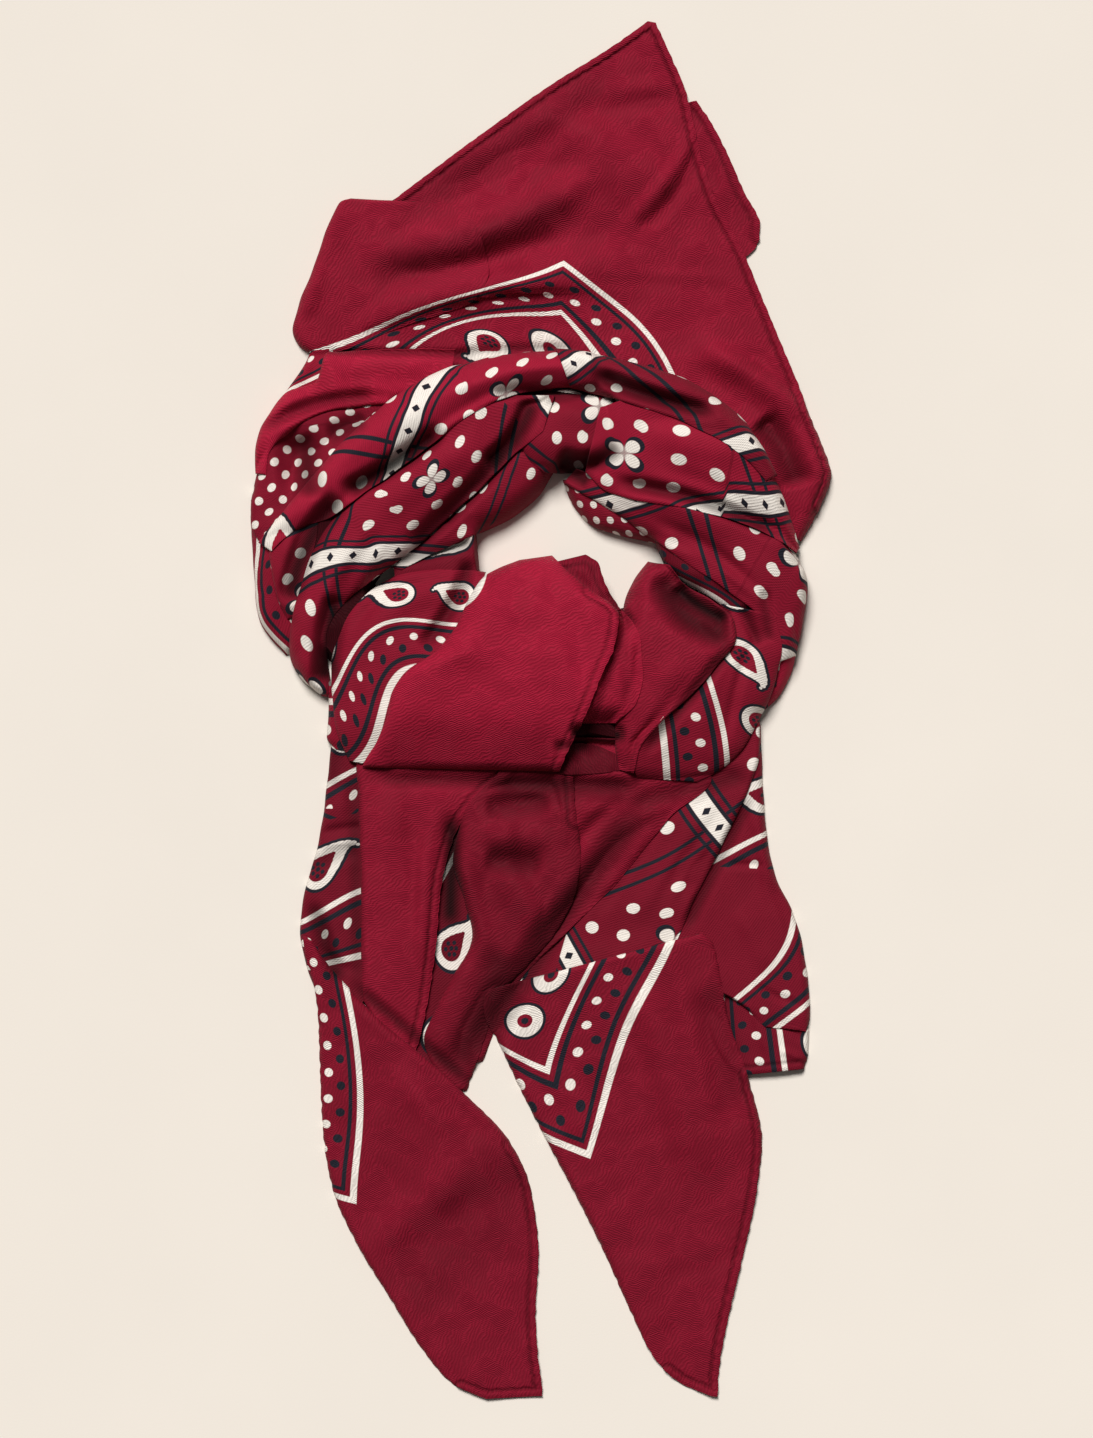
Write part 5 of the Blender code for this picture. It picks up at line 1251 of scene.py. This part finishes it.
    Stretch("knot_left_band", "printed", 0.87, 1.5, 0, 0, [HIDDEN, "cloth_wrap_left_second"], [], [
        (-36, 92, -44, 56, 24, 30, 4, 0), (-70, 93, -64, 32, 26, 32, 8, 0), (-98, 88, -80, 24, 26, 32, 10, 0),
        (-120, 72, -82, 18, 25, 32, 12, 0), (-133, 50, -86, 10, 24, 31, 12, 0), (-139, 28, -88, 0, 23, 29, 12, 0),
        (-138, 6, -91, -10, 22, 27, 12, 0), (-135, -14, -96, -22, 20, 24, 12, 0),
        (-127, -34, -104, -38, 14, 18, 10, 0),
    ], [
        (-44, 78, -122, 20, -22, 13, 3, 0), (-60, 86, -130, 46, -12, 6, -2.4, 0),
        (-116, 30, -116, -26, 4, 10, 2.4, 0),
    ], [
        ([(-55, 57, 169, 300), (-95, 62, 169, 338), (-122, 40, 169, 376), (-131, 24, 169, 396),
          (-66, 46, 153.6, 311.1), (-98, 47, 153.6, 347.7), (-117, 24, 153.6, 384.3), (-125, 9, 153.6, 402.6),
          (-122, -3, 145.1, 411.75), (-75, 40, 145.1, 320.25), (-104, 34, 145.1, 356.85), (-81, 28, 132, 335),
          (-97, 22, 132, 352), (-102, 10, 132, 366), (-102, -2, 132, 380), (-109, -15, 132, 398),
          (-118, -34, 132, 420), (-93, 75, 196, 352), (-58, 74, 196, 300)], "plan"),
    ]),
    Stretch("knot_right_band", "printed", 0.88, 1.5, 0, 6, [HIDDEN, "cloth_wrap_right_inner"], [], [
        (120, 70, 156, 62, 26, 24, 0, 9), (108, 40, 160, 40, 30, 24, 0, 11), (96, 16, 155, 14, 32, 24, 0, 12),
        (82, -4, 146, -6, 32, 22, 0, 12), (66, -22, 134, -27, 31, 20, 0, 12), (62, -36, 118, -41, 26, 16, 0, 9),
        (64, -45, 104, -48, 18, 10, 0, 6),
    ], [
        (128, 56, 110, -40, -8, 12, 3, 0), (146, 54, 124, -26, -5, 6, -3, 0),
    ], [
        ([(79, -5, 132, 292), (84, -45, 132, 334), (99, 12, 153.6, 274.5), (103, -5, 153.6, 292.8),
          (106, -22, 153.6, 311.1), (108, -37, 153.6, 329.4), (93, 2, 145.1, 283.65), (96, -15, 145.1, 301.95),
          (110, 23, 169, 265), (118, 0, 169, 290), (124, -30, 169, 320), (136, 30, 196, 248)], "plan"),
    ]),
    Stretch("knot_under_roll", "plain", 0.38, 1, 5, 5, [HIDDEN], [], [
        (8, -26, 8, -42, 8, 9, 5, 6), (24, -22, 24, -43, 9, 12, 9, 9), (38, -24, 40, -42, 9, 12, 8, 8),
        (52, -30, 54, -40, 8, 9, 4, 4),
    ], [
        (12, -34, 50, -34, 2, 6, 2, 0), (14, -28, 46, -26, 2, 4, -1.8, 0),
    ], []),
    Stretch("knot_right_lobe", "plain", 0.88, 1.4, 6, 0, ["cloth_knot_right_band", HIDDEN], [], [
        (72, 99, 86, 96, 18, 20, 7, 4), (62, 86, 95, 84, 26, 26, 9, 8), (57, 74, 115, 72, 30, 29, 10, 8),
        (55, 62, 128, 60, 33, 35, 10, 10), (56, 48, 130, 48, 35, 39, 0, 11), (54, 28, 117, 29, 35, 37, 0, 12),
        (52, 8, 98, 8, 34, 34, 0, 13), (50, -10, 80, -8, 30, 32, 8, 12), (50, -26, 66, -26, 26, 26, 8, 8),
        (53, -40, 62, -42, 16, 16, 4, 4),
    ], [
        (92, 90, 130, 54, 7, 6, 5, 0.3), (70, 92, 62, 44, -4, 9, -3, 0), (100, 40, 62, -24, -4, 14, 2.4, 0),
        (80, -2, 58, -26, 2, 6, -4, 0),
    ], []),
    Stretch("knot_tongue", "plain", 1.15, 1, 4, 7, ["cloth_knot_right_lobe"], [], [
        (40, 70, 52, 69, 31, 26, 0, 4), (38, 58, 62, 57, 41, 32, 0, 8), (34, 42, 67, 42, 45, 36, 0, 12),
        (28, 22, 68, 22, 45, 36, 0, 13), (22, 4, 63, 4, 41, 34, 0, 12), (24, -9, 50, -9, 22, 22, 6, 8),
    ], [
        (56, 58, 54, 0, 3, 8, 2.4, 0), (44, 60, 42, 4, 0, 7, -2.6, 0), (64, 44, 58, 8, 2, 5, -1.8, 0),
        (36, 30, 34, -4, 1, 6, 1.8, 0),
    ], []),
    Stretch("knot_flap", "plain", 0.66, 1, 0, 0, ["cloth_knot_tongue"], [("right", 0, 1), ("start", 0.5, 1)], [
        (2, 96, 30, 103, 28, 20, 0, 0), (10, 90, 38, 98, 32, 24, 0, 0), (16, 80, 43, 84, 35, 28, 0, 0),
        (26, 72, 49, 73, 38, 32, 0, 0), (34, 64, 54, 66, 40, 34, 0, 0),
    ], [
        (8, 96, 36, 72, 3, 7, -2.4, 0), (22, 100, 44, 72, 2, 6, 1.8, 0),
    ], []),
    Stretch("knot_left_lobe", "bordered", 1.22, 1.4, 10, 7, ["cloth_knot_left_band", "cloth_knot_tongue", HIDDEN],
            [("right", 0.28, 1)], [
        (-14, 100, 8, 103, 26, 26, 10, 8), (-34, 91, 16, 94, 36, 36, 14, 10), (-46, 76, 30, 82, 42, 44, 14, 12),
        (-54, 58, 52, 62, 45, 48, 16, 0), (-68, 40, 49, 42, 46, 48, 18, 0), (-92, 22, 41, 24, 41, 48, 14, 0),
        (-99, 8, 34, 6, 38, 46, 10, 0), (-101, -4, 28, -8, 35, 41, 9, 0), (-108, -20, 20, -24, 28, 35, 8, 0),
        (-115, -32, 15, -35, 22, 29, 7, 0), (-118, -38, 13, -41, 19, 25, 6, 0),
    ], [
        (22, 84, 36, 10, -5, 12, -2, 0), (-40, 84, 12, 78, 6, 14, 1.6, 0),
    ], [
        ([(-49, 66, 132, 300), (-45, 79, 132, 314), (-37, 89, 132, 327), (-68, 40, 104, 280), (-92, 22, 96, 262),
          (-104, -8, 84, 236), (0, 30, 70, 270), (40, 60, 50, 300), (0, 92, 92, 330), (20, -30, 50, 226),
          (-60, -20, 80, 236)], "plan"),
    ]),
]

# Valleys between folds; the last column is the shade painted into the colour along each one's middle.
VALLEYS = [
    (-152, 238, -38, 236, 0, 5, 4, 0.5), (-60, 238, 26, 241, 1, 5, 3, 0.45), (-188, 184, -106, 207, 7, 8, 6, 0.45),
    (-160, 184, -154, 138, 3, 13, 8, 0.62), (-142, 182, -114, 192, 0, 10, 5, 0.5),
    (-133, 142, -62, 187, -3, 10, 14, 0.88), (-130, 142, -167, 68, -7, 12, 14, 0.86),
    (-32, 207, 10, 213, 0, 6, 6, 0.5), (0, 203, 44, 213, 1, 6, 5, 0.45), (-38, 160, -4, 208, -6, 10, 14, 0.8),
    (-90, 104, -18, 176, -2, 10, 10, 0.7), (-134, 78, -144, 14, -1, 12, 13, 0.92), (-46, 102, -80, 40, 5, 8, 8, 0.55),
    (-98, 98, -42, 112, 0, 7, 7, 0.6), (10, 169, 52, 175, -8, 10, 10, 0.8), (10, 164, 34, 150, 0, 8, 8, 0.8),
    (32, 225, 120, 196, -4, 9, 13, 0.75), (144, 194, 172, 146, 4, 16, 12, 0.6), (46, 150, 162, 112, 7, 8, 9, 0.65),
    (89, 84, 127, 59, -3, 10, 10, 0.95), (80, 94, 131, 48, -13, 16, 10, 0.75), (134, 70, 146, 42, 0, 6, 6, 0.5),
    (148, 80, 152, 44, 0, 6, 6, 0.4), (46, 80, 62, 52, 0, 6, 7, 0.3), (56, 64, 28, -22, 4, 4, 1, 0.25),
    (18, -15, 58, -17, 0, 9, 12, 0.95), (8, -24, 34, -24, 0, 6, 3, 0.6), (130, 46, 66, -32, 0, 7, 4, 0.6),
    (57, 70, 60, 0, -3, 6, 3, 0.2), (-122, -46, 78, -51, 0, 8, 4, 0.45), (-36, -52, 68, -55, 0, 14, 4, 0.4),
    (-58, -66, -60, -148, 0, 10, 2, 0.9), (-38, -100, 2, -104, 0, 13, 5, 0.45), (-38, -66, 8, -62, 0, 12, 5, 0.35),
    (76, -56, -46, -236, -6, 17, 8, 0.6), (-128, -179, -42, -252, 0, 7, 2, 0.6), (-96, -404, -4, -292, 0, 44, 1, 0.2),
    (112, -176, 132, -270, 0, 20, 1, 0.2), (-152, -126, -133, -184, 0, 10, 3, 0.65),
    (-156, -104, -120, -92, 0, 9, 2, 0.35), (-136, -26, -138, -54, 0, 12, 2, 0.35),
    (-22, -156, -58, -242, 2, 19, 3, 0.55), (-116, -26, 24, -30, 0, 28, 1, 0.22), (56, -64, 142, -42, 0, 11, 3, 0.4),
    (142, -54, 94, -152, 0, 7, 3, 0.5), (-102, 322, 58, 430, 2, 16, 0.5, 0.22), (-118, 288, 24, 345, -6, 20, 1, 0.3),
    (-124, -30, -121, -190, 0, 8, 1, 0.4),
]

camera()
laid_cloth()
floor()
sun()
sky()
bpy.context.scene.view_settings.view_transform = "Standard"
bpy.context.scene.view_settings.look = "None"
